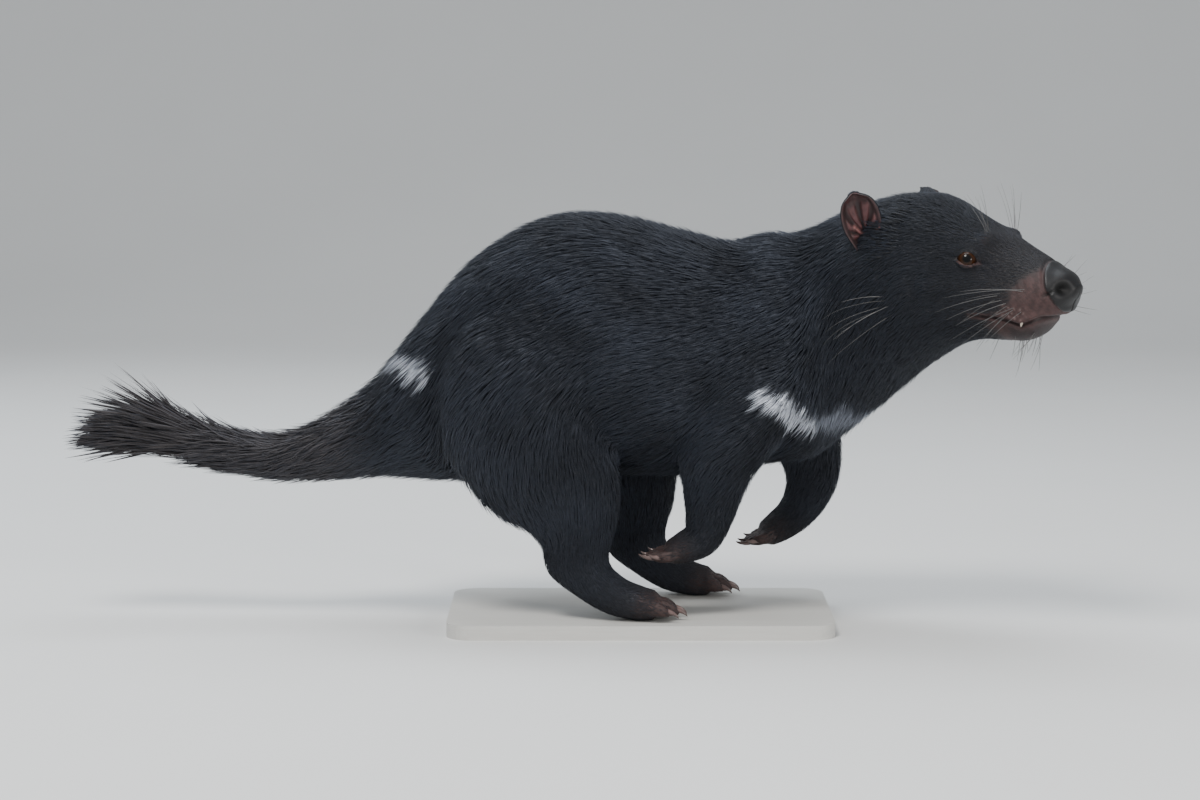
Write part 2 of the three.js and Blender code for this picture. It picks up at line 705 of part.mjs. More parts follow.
// Torso, neck and tail
const random = seeded(20);
for (const name of ["rump", "torso", "shoulders", "neck"]) add(name, trunkPart(name), "coat");

const TAIL_SIDES = 14;
const tailBase = tail.solid(tail.at("root"), tail.at("middle"), 5, TAIL_SIDES);
const tailHair = fringe(tail, random, {
  from: tail.at("root") + 0.15, to: tail.at("root") + 0.75, angle: Math.PI / 2, spread: 0.9,
  rows: 3, round: 4, length: 27, lift: 4.5, width: 12, thick: 2.8, flow: 1,
});
add("tail_base", union([tailBase, ...tailHair]), "coat");
const tailMiddle = tail.solid(tail.at("middle"), tail.at("bow"), 4, TAIL_SIDES);
add("tail_middle", tailMiddle, "coat");
const coreStart = tail.shifted(tail.at("bow"), GAP / 2);
const coreEnd = tail.at("fringe") + 0.3;
const coreRings = Array.from({ length: 7 }, (_, j) => {
  const t = coreStart + ((coreEnd - coreStart) * j) / 6;
  return Array.from({ length: TAIL_SIDES }, (_, i) =>
    tailPoint(t, ((i + 0.5) / TAIL_SIDES) * 2 * Math.PI, tailCore(t)),
  );
});
add("tail_tip", union([closedRings(coreRings), ...brush(random)]), "coat");

// Head
const EYE_MESH = [12, 8];
const noseSolid = trunk.solid(trunk.at("muzzle"), trunk.at("nose_tip"), 8, 20, { grow: 0.3 });
const headShape = trunkPart("head");
const noseBlock = sideBlock(NOSE_BLOCK);
const noseClear = noseBlock.translate([-GAP * 1.2, 0, -GAP * 0.6]);
const brows = [RIGHT, LEFT].map((side) => headBall(309, side * 29.5, 311, 13, 5, 7, [10, 6]));
const lips = [RIGHT, LEFT].map((side) => upperLip(side));
const lids = [RIGHT, LEFT].flatMap((side) => eyelids(side));
const canines = [RIGHT, LEFT].map((side) => {
  const y = halfWidthAt(346, above(250)) - 0.5;
  const points = [257, 251, 247.6].map((z) => bend(new THREE.Vector3(347, side * y, above(z))));
  return taperedRod(points, [2, 1.8, 0.7], 6, 1, new THREE.Vector3(1, 0, 0));
});
const jawTop = sideBlock(JAW_BLOCK, GAP);
const sockets = [RIGHT, LEFT].map((side) =>
  headBall(EYE.x, side * EYE.y, EYE.z, ...Array(3).fill(EYE.radius + GAP), EYE_MESH),
);
const jawBelow = sideBlock(JAW_BLOCK);
let head = union([headShape, ...brows]).subtract(jawTop);
head = union([head, ...lips, ...lids]).subtract(union(sockets)).subtract(noseClear);
head = union([head, ...canines]);
add("head", head, "coat");
const toothClear = union(
  [RIGHT, LEFT].map((side) => headBall(347, side * halfWidthAt(346, above(250)), 249, 3.2, 4, 5, [8, 6])),
);
const lipClear = union([RIGHT, LEFT].map((side) => upperLip(side).translate([0, 0, -GAP * 1.5])));
add(
  "lower_jaw",
  headShape.intersect(jawBelow).subtract(noseClear).subtract(toothClear).subtract(lipClear),
  "bare",
);
const nostrils = [RIGHT, LEFT].flatMap((side) => [
  headBall(376, side * 13.5, 281, 6, 4.4, 4.2, [8, 6]),
  headBall(371, side * 19.5, 279, 5.5, 3.2, 2.6, [8, 6]),
]);
add("nose", noseSolid.intersect(noseBlock).subtract(union(nostrils)), "nose");
for (const [name, side] of [["right", RIGHT], ["left", LEFT]]) {
  const size = Array(3).fill(EYE.radius);
  add("eye_" + name, headBall(EYE.x, side * EYE.y, EYE.z, ...size, EYE_MESH), "eye");
  add("ear_" + name, ear(side).subtract(trunkClear), "bare");
}

// Legs
const LEG_SIDES = 16;
const REAR = -Math.PI / 2; // where the back of a leg lies on its rings
const FLOOR_BLOCK = new THREE.BoxGeometry(900, 500, 100).translate(0, 0, GROUND + GAP - 50);
const belowGround = solidOf(FLOOR_BLOCK);
const HIND_TOES = {
  count: 4, spread: 15.5, fan: 0.16, length: 19, thick: 6.9, claw: 13,
  tilt: { soleDown: true, dip: 0 }, lift: -1.6,
};
const FORE_TOES = {
  count: 5, spread: 14.5, fan: 0.2, length: 18, thick: 5.8, claw: 11.5,
  tilt: { soleDown: false, dip: 0.1 }, lift: 0,
};
for (const [name, side, step] of [["right", RIGHT, 0], ["left", LEFT, HIND_STEP]]) {
  const hind = limb(HIND_STATIONS(step), side);
  const thigh = hind.solid(hind.at("hip"), hind.at("calf"), 8, LEG_SIDES);
  const breeches = fringe(hind, random, {
    from: hind.at("thigh") - 0.2, to: hind.at("thigh") + 0.9, angle: REAR, spread: 0.7,
    rows: 3, round: 4, length: 25, lift: 4.5, width: 15, thick: 3, flow: 1,
  });
  add("thigh_" + name, union([thigh, ...breeches]).subtract(trunkClear), "coat");
  const shank = hind.solid(hind.at("calf"), hind.at("instep"), 7, LEG_SIDES);
  add("shank_" + name, shank.subtract(trunkClear), "coat");
  const foot = hind.solid(hind.at("instep"), hind.at("toes"), 6, LEG_SIDES);
  add("hind_foot_" + name, withToes(foot, hind, side, HIND_TOES).subtract(belowGround), "bare");

  const fore = limb(FORE_STATIONS[name], side);
  const upper = fore.solid(fore.at("blade"), fore.at("elbow"), 6, LEG_SIDES);
  add("upper_arm_" + name, upper.subtract(trunkClear), "coat");
  const lower = fore.solid(fore.at("elbow"), fore.at("wrist"), 6, LEG_SIDES);
  add("forearm_" + name, lower.subtract(trunkClear), "coat");
  const paw = fore.solid(fore.at("wrist"), fore.at("toes"), 4, LEG_SIDES);
  add("forefoot_" + name, withToes(paw, fore, side, FORE_TOES), "bare");
}

// Stand
const corner = BASE.corner;
const plate = new THREE.Shape();
plate.absarc(BASE.length / 2 - corner, BASE.width / 2 - corner, corner, 0, Math.PI / 2);
plate.absarc(-BASE.length / 2 + corner, BASE.width / 2 - corner, corner, Math.PI / 2, Math.PI);
plate.absarc(-BASE.length / 2 + corner, -BASE.width / 2 + corner, corner, Math.PI, 1.5 * Math.PI);
plate.absarc(BASE.length / 2 - corner, -BASE.width / 2 + corner, corner, 1.5 * Math.PI, 2 * Math.PI);
const plateGeometry = new THREE.ExtrudeGeometry(plate, {
  depth: BASE.thickness,
  bevelEnabled: false,
  curveSegments: 5,
});
add(
  "stand_base",
  solidOf(plateGeometry, (p) => new THREE.Vector3(p.x, p.y, p.z)),
  "stand",
);

export default animal;
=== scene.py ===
"""A life-size Tasmanian devil at the run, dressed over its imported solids.

One skin carries the whole body, built from the same ring sizes as the solids and set in by the depth
of the coat. The coat is solid mesh: closed, tapered tufts that follow the lie of the fur. Eyes, ears,
claws, teeth and whiskers are pieces of their own. Sizes are in millimetres until a mesh is written.
"""

from __future__ import annotations

import logging
import math
from dataclasses import dataclass
from enum import Enum

import bpy
import numpy as np
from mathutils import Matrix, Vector
from mathutils.bvhtree import BVHTree
from mathutils.kdtree import KDTree

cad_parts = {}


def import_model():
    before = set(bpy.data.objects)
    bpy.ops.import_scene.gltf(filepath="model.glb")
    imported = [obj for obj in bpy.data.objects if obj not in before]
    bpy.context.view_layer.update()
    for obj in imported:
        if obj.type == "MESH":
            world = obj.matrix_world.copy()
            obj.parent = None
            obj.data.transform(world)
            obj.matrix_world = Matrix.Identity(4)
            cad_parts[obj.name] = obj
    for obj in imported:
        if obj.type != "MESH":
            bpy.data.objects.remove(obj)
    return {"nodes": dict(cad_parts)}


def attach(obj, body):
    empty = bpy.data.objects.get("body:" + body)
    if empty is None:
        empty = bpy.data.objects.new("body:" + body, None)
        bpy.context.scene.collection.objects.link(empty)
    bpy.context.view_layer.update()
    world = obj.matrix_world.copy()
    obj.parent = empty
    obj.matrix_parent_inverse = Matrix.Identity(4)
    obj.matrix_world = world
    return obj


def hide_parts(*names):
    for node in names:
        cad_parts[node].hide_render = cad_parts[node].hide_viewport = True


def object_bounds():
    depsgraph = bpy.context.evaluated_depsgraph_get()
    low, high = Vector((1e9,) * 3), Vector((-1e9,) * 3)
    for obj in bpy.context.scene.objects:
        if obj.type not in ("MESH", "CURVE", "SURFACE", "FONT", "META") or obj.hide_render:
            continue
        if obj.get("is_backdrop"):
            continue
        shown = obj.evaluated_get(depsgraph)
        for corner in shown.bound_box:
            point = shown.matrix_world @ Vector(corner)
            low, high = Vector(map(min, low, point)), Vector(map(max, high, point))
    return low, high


log = logging.getLogger("devil")

Pair = tuple[float, float]
Triple = tuple[float, float, float]
Colour = tuple[float, float, float, float]
Stops = tuple[tuple[float, Colour], ...]
Shell = tuple[np.ndarray, list[np.ndarray]]  # points and faces
Socket = bpy.types.NodeSocket
Material = bpy.types.Material

MM = 0.001
GROUND = 12.0  # height of the stand's top, which the feet rest on
HEAD_TURN = math.radians(34)
BEND_FROM, BEND_TO = 110.0, 215.0  # stretch of the straight spine that turns


class Side(Enum):
    """The animal's two sides, as the sign of y."""

    RIGHT = -1
    LEFT = 1


class Slot(Enum):
    """The names of four material slots: coat, bare skin, eye and claw."""

    COAT = "coat"
    BARE = "bare_skin"
    EYE = "eye"
    CLAW = "claw"


# Curves and noise


def smooth(t: np.ndarray | float) -> np.ndarray:
    """Eases from 0 to 1: three times the square less twice the cube of t held between 0 and 1."""
    s = np.clip(t, 0.0, 1.0)
    return s * s * (3 - 2 * s)


def bell(q: np.ndarray) -> np.ndarray:
    """A smooth bump: e to the power of minus q squared."""
    return np.exp(-q * q)


def ripple(points: np.ndarray, size: float, seed: int) -> np.ndarray:
    """Soft, seamless noise made of a few slanted waves.

    Args:
        points: places, one row each.
        size: the length of a wave.
        seed: which set of waves to use.

    Returns:
        A value between about -1 and 1 for each place.
    """
    rng = np.random.default_rng(seed)
    total = np.zeros(points.shape[:-1])
    for _ in range(7):
        way = rng.normal(size=3)
        way *= rng.uniform(0.7, 1.5) * 2 * math.pi / (size * np.linalg.norm(way))
        total += np.sin(points @ way + rng.uniform(0, 2 * math.pi))
    return total / 3.2


def read_rows(rows: np.ndarray, t: np.ndarray) -> np.ndarray:
    """Reads a table of rows between its entries, by a Catmull-Rom spline in each column.

    Args:
        rows: the table, one row for each station.
        t: positions along it, where a whole number is a station.

    Returns:
        One row of values for each position.
    """
    last = len(rows) - 1
    i = np.clip(np.floor(t).astype(int), 0, last - 1)
    k = (t - i)[..., None]
    a, b, c = rows[np.maximum(i - 1, 0)], rows[i], rows[i + 1]
    d = rows[np.minimum(i + 2, last)]
    into, out = (c - a) / 2, (d - b) / 2
    k2, k3 = k * k, k * k * k
    return (
        b * (2 * k3 - 3 * k2 + 1) + into * (k3 - 2 * k2 + k) + c * (3 * k2 - 2 * k3) + out * (k3 - k2)
    )


def unit(v: np.ndarray) -> np.ndarray:
    """Scales vectors to length 1: each is divided by its length."""
    return v / np.maximum(np.linalg.norm(v, axis=-1, keepdims=True), 1e-9)


class Neck:
    """The bend that turns the head: a path of the middle plane, one point for each millimetre."""

    def __init__(self) -> None:
        """Lays out the path from the tail to the nose."""
        self.s = np.arange(-520.0, 441.0)
        self.turn = HEAD_TURN * smooth((self.s - BEND_FROM) / (BEND_TO - BEND_FROM))
        x = np.concatenate([[-520.0], -520.0 + np.cumsum(np.cos(self.turn[:-1]))])
        y = np.concatenate([[0.0], -np.cumsum(np.sin(self.turn[:-1]))])
        self.x, self.y = x, y

    def place(self, p: np.ndarray) -> np.ndarray:
        """Carries points of the straight animal to their turned places.

        Args:
            p: points of the straight animal.

        Returns:
            The same points once the head is turned.
        """
        s = p[..., 0]
        turn = np.interp(s, self.s, self.turn)
        x = np.interp(s, self.s, self.x) + p[..., 1] * np.sin(turn)
        y = np.interp(s, self.s, self.y) + p[..., 1] * np.cos(turn)
        return np.stack([x, y, p[..., 2]], axis=-1)

    def straighten(self, p: np.ndarray) -> np.ndarray:
        """Carries points of the turned animal back to the straight one.

        Args:
            p: points as they stand in the model.

        Returns:
            Their places in the straight animal.
        """
        s = p[..., 0].copy()
        for _ in range(12):
            turn = np.interp(s, self.s, self.turn)
            dx = p[..., 0] - np.interp(s, self.s, self.x)
            dy = p[..., 1] - np.interp(s, self.s, self.y)
            s = s + 0.8 * (dx * np.cos(turn) - dy * np.sin(turn))
        turn = np.interp(s, self.s, self.turn)
        dx = p[..., 0] - np.interp(s, self.s, self.x)
        dy = p[..., 1] - np.interp(s, self.s, self.y)
        return np.stack([s, dx * np.sin(turn) + dy * np.cos(turn), p[..., 2]], axis=-1)


NECK = Neck()


# Body


@dataclass(frozen=True)
class Ring:
    """One ring of the body.

    back and belly are forward position and height above the ground, half is half the width, square is
    2 for an ellipse, pear narrows the upper part, coat is the depth of the fur over the skin and hair
    is the length of a tuft.
    """

    name: str
    back: Pair
    belly: Pair
    half: float
    square: float
    pear: float
    coat: float
    hair: float

    def row(self) -> tuple[float, ...]:
        """Gives the ring's numbers as one table row."""
        (bx, bz), (ux, uz) = self.back, self.belly
        shape = (bx, bz + GROUND, ux, uz + GROUND, self.half, self.square, self.pear)
        return shape + (self.coat, self.hair)


BODY_RINGS = (
    Ring("tip", (-474, 143.5), (-474.5, 141.5), 1.5, 2, 0, 0.8, 40),
    Ring("wisps", (-454, 155), (-456, 134), 8.5, 2, 0, 6.5, 44),
    Ring("fringe", (-428, 172), (-433, 127), 16, 2, 0, 11, 48),
    Ring("fan", (-399, 177), (-408, 124), 21, 2, 0, 12, 50),
    Ring("brush", (-370, 163), (-379, 121), 20, 2, 0, 9.5, 44),
    Ring("bow", (-340.5, 153), (-349.5, 115), 18.5, 2, 0, 7, 36),
    Ring("slim", (-311, 148), (-311.5, 109), 19.5, 2, 0, 6, 32),
    Ring("middle", (-282, 154), (-276, 108), 22.5, 2, 0, 6, 30),
    Ring("thick", (-252, 170), (-239, 109), 28, 2, 0, 6, 30),
    Ring("tail_root", (-225, 191), (-204, 111), 38, 2, 0, 6.5, 30),
    Ring("croup", (-200, 222), (-168, 108), 56, 2.1, 0.02, 7, 28),
    Ring("pelvis", (-174, 256), (-118, 109), 68, 2.2, 0.05, 7.5, 26),
    Ring("hip", (-146, 290), (-67, 112), 77, 2.2, 0.08, 7.5, 25),
    Ring("loin", (-109, 318), (-34, 113), 83, 2.2, 0.1, 7.5, 24),
    Ring("back_top", (-67, 334), (-8, 113), 87, 2.2, 0.12, 7.5, 24),
    Ring("ribs", (-25, 334), (14, 112.5), 88, 2.2, 0.12, 7.5, 23),
    Ring("chest", (12, 326), (38, 112.5), 87, 2.2, 0.12, 7, 22),
    Ring("girth", (50, 316), (63, 114), 84, 2.2, 0.12, 7, 22),
    Ring("withers", (78, 311), (88, 120), 81, 2.2, 0.12, 7, 22),
    Ring("shoulder", (104, 318), (116, 123), 79, 2.2, 0.1, 7, 21),
    Ring("breast", (129, 318), (145, 127), 75, 2.2, 0.06, 7, 21),
    Ring("neck", (152, 326), (174, 150), 70, 2.2, 0.02, 6.5, 20),
    Ring("throat", (170, 335), (204, 175), 67, 2.2, 0.02, 6, 18),
    Ring("nape", (192, 343), (232, 198), 66, 2.2, 0.04, 5, 16),
    Ring("crown", (216, 348.5), (247, 209), 66, 2.2, 0.08, 4, 13),
    Ring("jowl", (240, 352), (262, 219), 65, 2.2, 0.1, 3.4, 11),
    Ring("cheek", (258, 352), (273, 225), 61, 2.2, 0.12, 2.8, 9.5),
    Ring("temple", (272, 347.5), (284, 229.5), 55, 2.2, 0.13, 2.3, 8.2),
    Ring("brow", (286, 340), (296, 232.5), 48.5, 2.25, 0.13, 1.8, 7),
    Ring("eye", (299, 333), (306, 233.9), 43, 2.3, 0.13, 1.3, 6),
    Ring("stop", (313, 326), (318, 233.6), 38.5, 2.3, 0.14, 1, 5.2),
    Ring("bridge", (327, 318.5), (329, 233.3), 35.5, 2.3, 0.16, 0.8, 4.6),
    Ring("muzzle", (340, 310.8), (341, 234), 32.5, 2.3, 0.18, 0.6, 4),
    Ring("lips", (353, 303.6), (352.6, 240), 29.5, 2.3, 0.18, 0.4, 3.4),
    Ring("nose_back", (366.5, 296), (363, 253), 25, 2.2, 0.14, 0.2, 3),
    Ring("nose_front", (377.5, 290), (375, 260), 19, 2.1, 0.1, 0, 3),
    Ring("nose_tip", (383.5, 282), (381, 269), 9, 2, 0, 0, 3),
)


@dataclass(frozen=True)
class LimbRing:
    """One ring of a leg: its middle, half its depth and width, and its coat's depth and length."""

    name: str
    at: Triple
    deep: float
    wide: float
    coat: float
    hair: float


def hind_rings(step: float) -> tuple[LimbRing, ...]:
    """The rings of a hind leg.

    Args:
        step: how far the foot stands forward of the right one. The hip moves by a part of that.

    Returns:
        The rings from the hip to the root of the toes.
    """
    s = step
    return (
        LimbRing("hip", (-92 + 0.2 * s, 24, 250), 40, 30, 6, 24),
        LimbRing("haunch", (-98 + 0.35 * s, 51, 212), 66, 44, 6.5, 25),
        LimbRing("thigh", (-99 + 0.6 * s, 58, 170), 72, 42, 6.5, 25),
        LimbRing("stifle", (-85 + 0.85 * s, 60, 136), 61, 36, 6, 24),
        LimbRing("calf", (-65 + s, 61, 109), 52.5, 28.5, 5, 20),
        LimbRing("shin", (-55 + s, 61, 82), 39, 22.5, 3.8, 16),
        LimbRing("hock", (-52.5 + s, 62, 61.5), 29, 18.5, 2.6, 11),
        LimbRing("heel", (-51 + s, 62, 50), 28, 18, 1.8, 8),
        LimbRing("instep", (-39 + s, 62, 32.5), 19.5, 17, 1.3, 6.5),
        LimbRing("sole", (-20.5 + s, 62, 19.5), 16.5, 18.5, 0.9, 5.2),
        LimbRing("ball", (-1 + s, 62, 13.5), 14, 21, 0.6, 4.4),
        LimbRing("toes", (13 + s, 62, 11.8), 11.8, 20.5, 0.5, 4),
    )


HIND_STEP = 49.0
FORE_RINGS = {
    Side.RIGHT: (
        LimbRing("blade", (92, 30, 236), 34, 26, 5, 22),
        LimbRing("shoulder", (90, 56, 200), 46, 34, 6, 22),
        LimbRing("upper_arm", (76, 61, 165), 44, 30, 5.5, 20),
        LimbRing("elbow", (64, 60, 136), 36, 25, 4.5, 17),
        LimbRing("forearm", (60, 55, 109), 27, 20, 3.5, 13),
        LimbRing("pastern", (57, 53, 86), 21, 17, 2.4, 9.5),
        LimbRing("wrist", (50, 52, 66.5), 16.5, 15.5, 1.6, 7),
        LimbRing("palm", (35, 52, 58), 13, 17, 0.9, 5.2),
        LimbRing("toes", (23, 52, 53.5), 9.5, 17.5, 0.5, 4),
    ),
    Side.LEFT: (
        LimbRing("blade", (112, 30, 234), 34, 26, 5, 22),
        LimbRing("shoulder", (122, 53, 198), 42, 33, 6, 22),
        LimbRing("upper_arm", (137, 56, 160), 37, 28, 5.5, 20),
        LimbRing("elbow", (146, 54, 130), 29, 23, 4.5, 17),
        LimbRing("forearm", (149, 51, 106), 24, 18.5, 3.5, 13),
        LimbRing("pastern", (143, 50, 86), 19.5, 16.5, 2.4, 9.5),
        LimbRing("wrist", (132, 50, 70.5), 16, 15.5, 1.6, 7),
        LimbRing("palm", (119, 50, 60.5), 13.5, 17, 0.9, 5.2),
        LimbRing("toes", (107.5, 50, 53.5), 10.5, 17.5, 0.5, 4),
    ),
}


class Tube:
    """A form whose skin is a function of a position along it and an angle round it.

    Angle 0 is the left side and a quarter turn is the top, or the front of a leg.
    """

    names: tuple[str, ...]
    rows: np.ndarray
    flow = 1  # 1 where the fur lies towards the tube's end, -1 where it lies back along it
    lean: tuple[list[float], list[float]]  # positions, and the share of the lie that goes round

    def at(self, name: str) -> float:
        """Gives the position of a named ring."""
        return float(self.names.index(name))

    def coat(self, t: np.ndarray) -> np.ndarray:
        """Gives the coat's depth at positions along the tube."""
        return np.maximum(read_rows(self.rows, t)[..., -2], 0.0)

    def hair(self, t: np.ndarray) -> np.ndarray:
        """Gives a tuft's length at positions along the tube."""
        return np.maximum(read_rows(self.rows, t)[..., -1], 2.0)

    def lie(self, t: np.ndarray, angle: np.ndarray) -> np.ndarray:
        """Gives the way that the fur lies.

        Args:
            t: positions along the tube.
            angle: angles round it.

        Returns:
            The unit way along the tube, with a share round it that grows with the lean.
        """
        along, around, _ = self.frame(t, angle, self.coat(t))
        lean = np.interp(t, *self.lean)[..., None]
        aside = -np.cos(angle)[..., None] * unit(around)
        return unit(self.flow * unit(along) + lean * aside)

    def flat(self, t: np.ndarray, angle: np.ndarray, inset: np.ndarray | float) -> np.ndarray:
        """Gives points in the straight animal, set in from the outline."""
        raise NotImplementedError

    def place(self, p: np.ndarray) -> np.ndarray:
        """Carries straight points to where they stand."""
        return p

    def point(self, t: np.ndarray, angle: np.ndarray, inset: np.ndarray | float = 0.0) -> np.ndarray:
        """Gives points of the standing animal, set in from the outline."""
        return self.place(self.flat(t, angle, inset))

    def frame(self, t: np.ndarray, angle: np.ndarray, inset: np.ndarray | float = 0.0):
        """Measures the skin at places on it.

        Args:
            t: positions along the tube.
            angle: angles round it.
            inset: how far inside the outline.

        Returns:
            The way along per unit of t, the way round per radian, and the outward normal.
        """
        e = 0.02
        along = (self.point(t + e, angle, inset) - self.point(t - e, angle, inset)) / (2 * e)
        around = (self.point(t, angle + e, inset) - self.point(t, angle - e, inset)) / (2 * e)
        normal = unit(np.cross(around, along))
        middle = 0.5 * (self.point(t, angle, inset) + self.point(t, angle + math.pi, inset))
        out = np.sum(normal * (self.point(t, angle, inset) - middle), axis=-1, keepdims=True)
        return along, around, np.where(out < 0, -normal, normal)


class Spine(Tube):
    """The body from the tip of the tail to the nose, with the face's forms on it."""

    def __init__(self) -> None:
        """Reads the rings into a table."""
        self.names = tuple(r.name for r in BODY_RINGS)
        self.rows = np.array([r.row() for r in BODY_RINGS], float)
        self.flow = -1
        self.lean = ([0, 8, 12, 18, 24, 30, 36], [0.05, 0.12, 0.3, 0.34, 0.4, 0.3, 0.2])

    def flat(self, t: np.ndarray, angle: np.ndarray, inset: np.ndarray | float = 0.0) -> np.ndarray:
        """Gives points of the straight body.

        Args:
            t: positions along the spine.
            angle: angles round it.
            inset: how far inside the outline.

        Returns:
            The ring's middle, plus its half height and half width along a superellipse.
        """
        row = read_rows(self.rows, t)
        bx, bz, ux, uz, half, square, pear = np.moveaxis(row[..., :7], -1, 0)
        up = np.stack([(bx - ux) / 2, np.zeros_like(bx), (bz - uz) / 2], axis=-1)
        length = np.maximum(np.linalg.norm(up, axis=-1), 1e-6)
        power = 2 / square
        s, c = np.sin(angle), np.cos(angle)
        high = np.sign(s) * np.abs(s) ** power
        wide = np.sign(c) * np.abs(c) ** power * (1 - pear * s)
        shrink_up = np.maximum(1 - inset / length, 0.04)
        shrink_side = np.maximum(1 - inset / half, 0.04)
        centre = np.stack([(bx + ux) / 2, np.zeros_like(bx), (bz + uz) / 2], axis=-1)
        out = centre + up * (high * shrink_up)[..., None]
        out[..., 1] += half * wide * shrink_side
        return out

    def place(self, p: np.ndarray) -> np.ndarray:
        """Turns the neck."""
        return NECK.place(p)


class Leg(Tube):
    """A leg whose rings stand square to its middle line."""

    def __init__(self, rings: tuple[LimbRing, ...], side: Side) -> None:
        """Reads the rings for one side.

        Args:
            rings: the rings from the body to the toes.
            side: which side the leg is on.
        """
        self.names = tuple(r.name for r in rings)
        self.side = side
        self.lean = ([0, 1, 2, 3, 4, 6, 12], [1.5, 1.1, 0.75, 0.5, 0.35, 0.2, 0.05])
        self.rows = np.array(
            [
                (r.at[0], r.at[1] * side.value, r.at[2] + GROUND, r.deep, r.wide, r.coat, r.hair)
                for r in rings
            ],
            float,
        )

    def axes(self, t: np.ndarray) -> tuple[np.ndarray, np.ndarray, np.ndarray, np.ndarray]:
        """Gives a ring's middle, way, half depth vector and half width vector.

        Args:
            t: positions along the leg.

        Returns:
            The four sets of vectors.
        """
        row = read_rows(self.rows, t)
        last = len(self.rows) - 1
        near = read_rows(self.rows, np.maximum(0, t - 0.3))[..., :3]
        far = read_rows(self.rows, np.minimum(last, t + 0.3))[..., :3]
        way = unit(far - near)
        across = unit(np.array([0.0, 1.0, 0.0]) - way * way[..., 1:2])
        return row[..., :3], way, np.cross(way, across) * row[..., 3:4], across * row[..., 4:5]

    def flat(self, t: np.ndarray, angle: np.ndarray, inset: np.ndarray | float = 0.0) -> np.ndarray:
        """Gives points of the leg.

        Args:
            t: positions along the leg.
            angle: angles round it.
            inset: how far inside the outline.

        Returns:
            The ring's middle plus its half axes along a superellipse.
        """
        centre, _, up, side = self.axes(np.asarray(t, float))
        power = 2 / 2.1
        s, c = np.sin(angle), np.cos(angle)
        high = np.sign(s) * np.abs(s) ** power
        wide = np.sign(c) * np.abs(c) ** power
        deep, width = np.linalg.norm(up, axis=-1), np.linalg.norm(side, axis=-1)
        return (
            centre
            + up * (high * np.maximum(1 - inset / deep, 0.05))[..., None]
            + side * (wide * np.maximum(1 - inset / width, 0.05))[..., None]
        )


# Face


@dataclass(frozen=True)
class EyeSize:
    """An eye in the straight head: its middle, its radius and the opening of its lids."""

    x: float = 301.0
    y: float = 33.9
    z: float = 311.0
    radius: float = 9.0
    corner: float = 8.3
    upper: float = 5.6
    lower: float = 4.5
    margin: float = 1.0
    cornea: float = 0.55  # how far it stands out over the ball
    iris: float = 1.15  # its reach from the axis, in radians
    grid: tuple[int, int] = (40, 56)


EYE = EyeSize()
MOUTH = np.array(
    [
        (378, 270.5), (372, 267.5), (360, 266.5), (352, 262.5), (346, 260.5), (336, 264),
        (326, 266), (306, 267.5),
    ],
    float,
)
NOSE_SEAM = np.array([(376, 262), (374, 270), (370, 281), (364, 291), (360.5, 303), (358, 317)], float)


def eye_axes(side: Side) -> tuple[np.ndarray, np.ndarray, np.ndarray, np.ndarray]:
    """Gives an eye's middle and its three ways in the straight head.

    Args:
        side: which eye.

    Returns:
        The middle, the way it looks, the way of its corners and the way up across the opening.
    """
    s = side.value
    look = unit(np.array([0.42, 0.87 * s, 0.24]))
    corner = np.array([-0.88, 0.4 * s, 0.2])
    corner = unit(corner - look * (corner @ look))
    high = np.cross(look, corner)
    high = high if high[2] > 0 else -high
    return np.array([EYE.x, EYE.y * s, EYE.z]), look, corner, high


def line_distance(x: np.ndarray, z: np.ndarray, line: np.ndarray) -> tuple[np.ndarray, np.ndarray]:
    """Measures how far points lie from a line of the side view.

    Args:
        x: forward positions.
        z: heights.
        line: the line's corners.

    Returns:
        The distance, and the height over the line at the nearest place, positive above it.
    """
    best = np.full(x.shape, 1e9)
    above = np.zeros(x.shape)
    for (ax, az), (bx, bz) in zip(line[:-1], line[1:]):
        dx, dz = bx - ax, bz - az
        k = np.clip(((x - ax) * dx + (z - az) * dz) / (dx * dx + dz * dz), 0, 1)
        gap = np.hypot(x - ax - k * dx, z - az - k * dz)
        nearer = gap < best
        best = np.where(nearer, gap, best)
        above = np.where(nearer, np.sign(z - az - k * dz) * gap, above)
    return best, above


@dataclass(frozen=True)
class Mound:
    """One soft form of the face: its height, its middle and its reach along each axis."""

    name: str
    height: float
    at: Triple
    reach: Triple

    def over(self, p: np.ndarray) -> np.ndarray:
        """Gives the form at points: its height times e to minus the squared scaled distance."""
        q = (p - np.array(self.at)) / np.array(self.reach)
        return self.height * np.exp(-np.sum(q * q, axis=-1))


MOUNDS = (
    Mound("brow", 6.8, (314, 23, 328), (8, 9, 8)),
    Mound("frown", -1.8, (316, 0, 328), (12, 8, 12)),
    Mound("eye_ridge", 1.7, (303, 40, 322), (12, 10, 5)),
    Mound("cheekbone", 3.0, (284, 52, 293), (13, 14, 9)),
    Mound("tear_hollow", -1.6, (318, 36, 305), (8, 9, 8)),
    Mound("lid_crease", -1.6, (292, 47, 302), (14, 10, 4)),
    Mound("whisker_pad", 1.5, (340, 32, 279), (14, 12, 9)),
    Mound("bridge_side", -1.2, (330, 20, 324), (16, 8, 10)),
    Mound("jowl", 1.0, (262, 62, 262), (18, 18, 16)),
    Mound("cheek_furrow", -2.2, (268, 60, 288), (6, 14, 20)),
    Mound("cheek_crease", -0.9, (292, 50, 283), (14, 14, 4)),
    Mound("mouth_corner", -0.8, (303, 40, 266), (5, 12, 5)),
)
WRINKLES = Mound("wrinkles", 0.35, (344, 30, 296), (9, 14, 8))


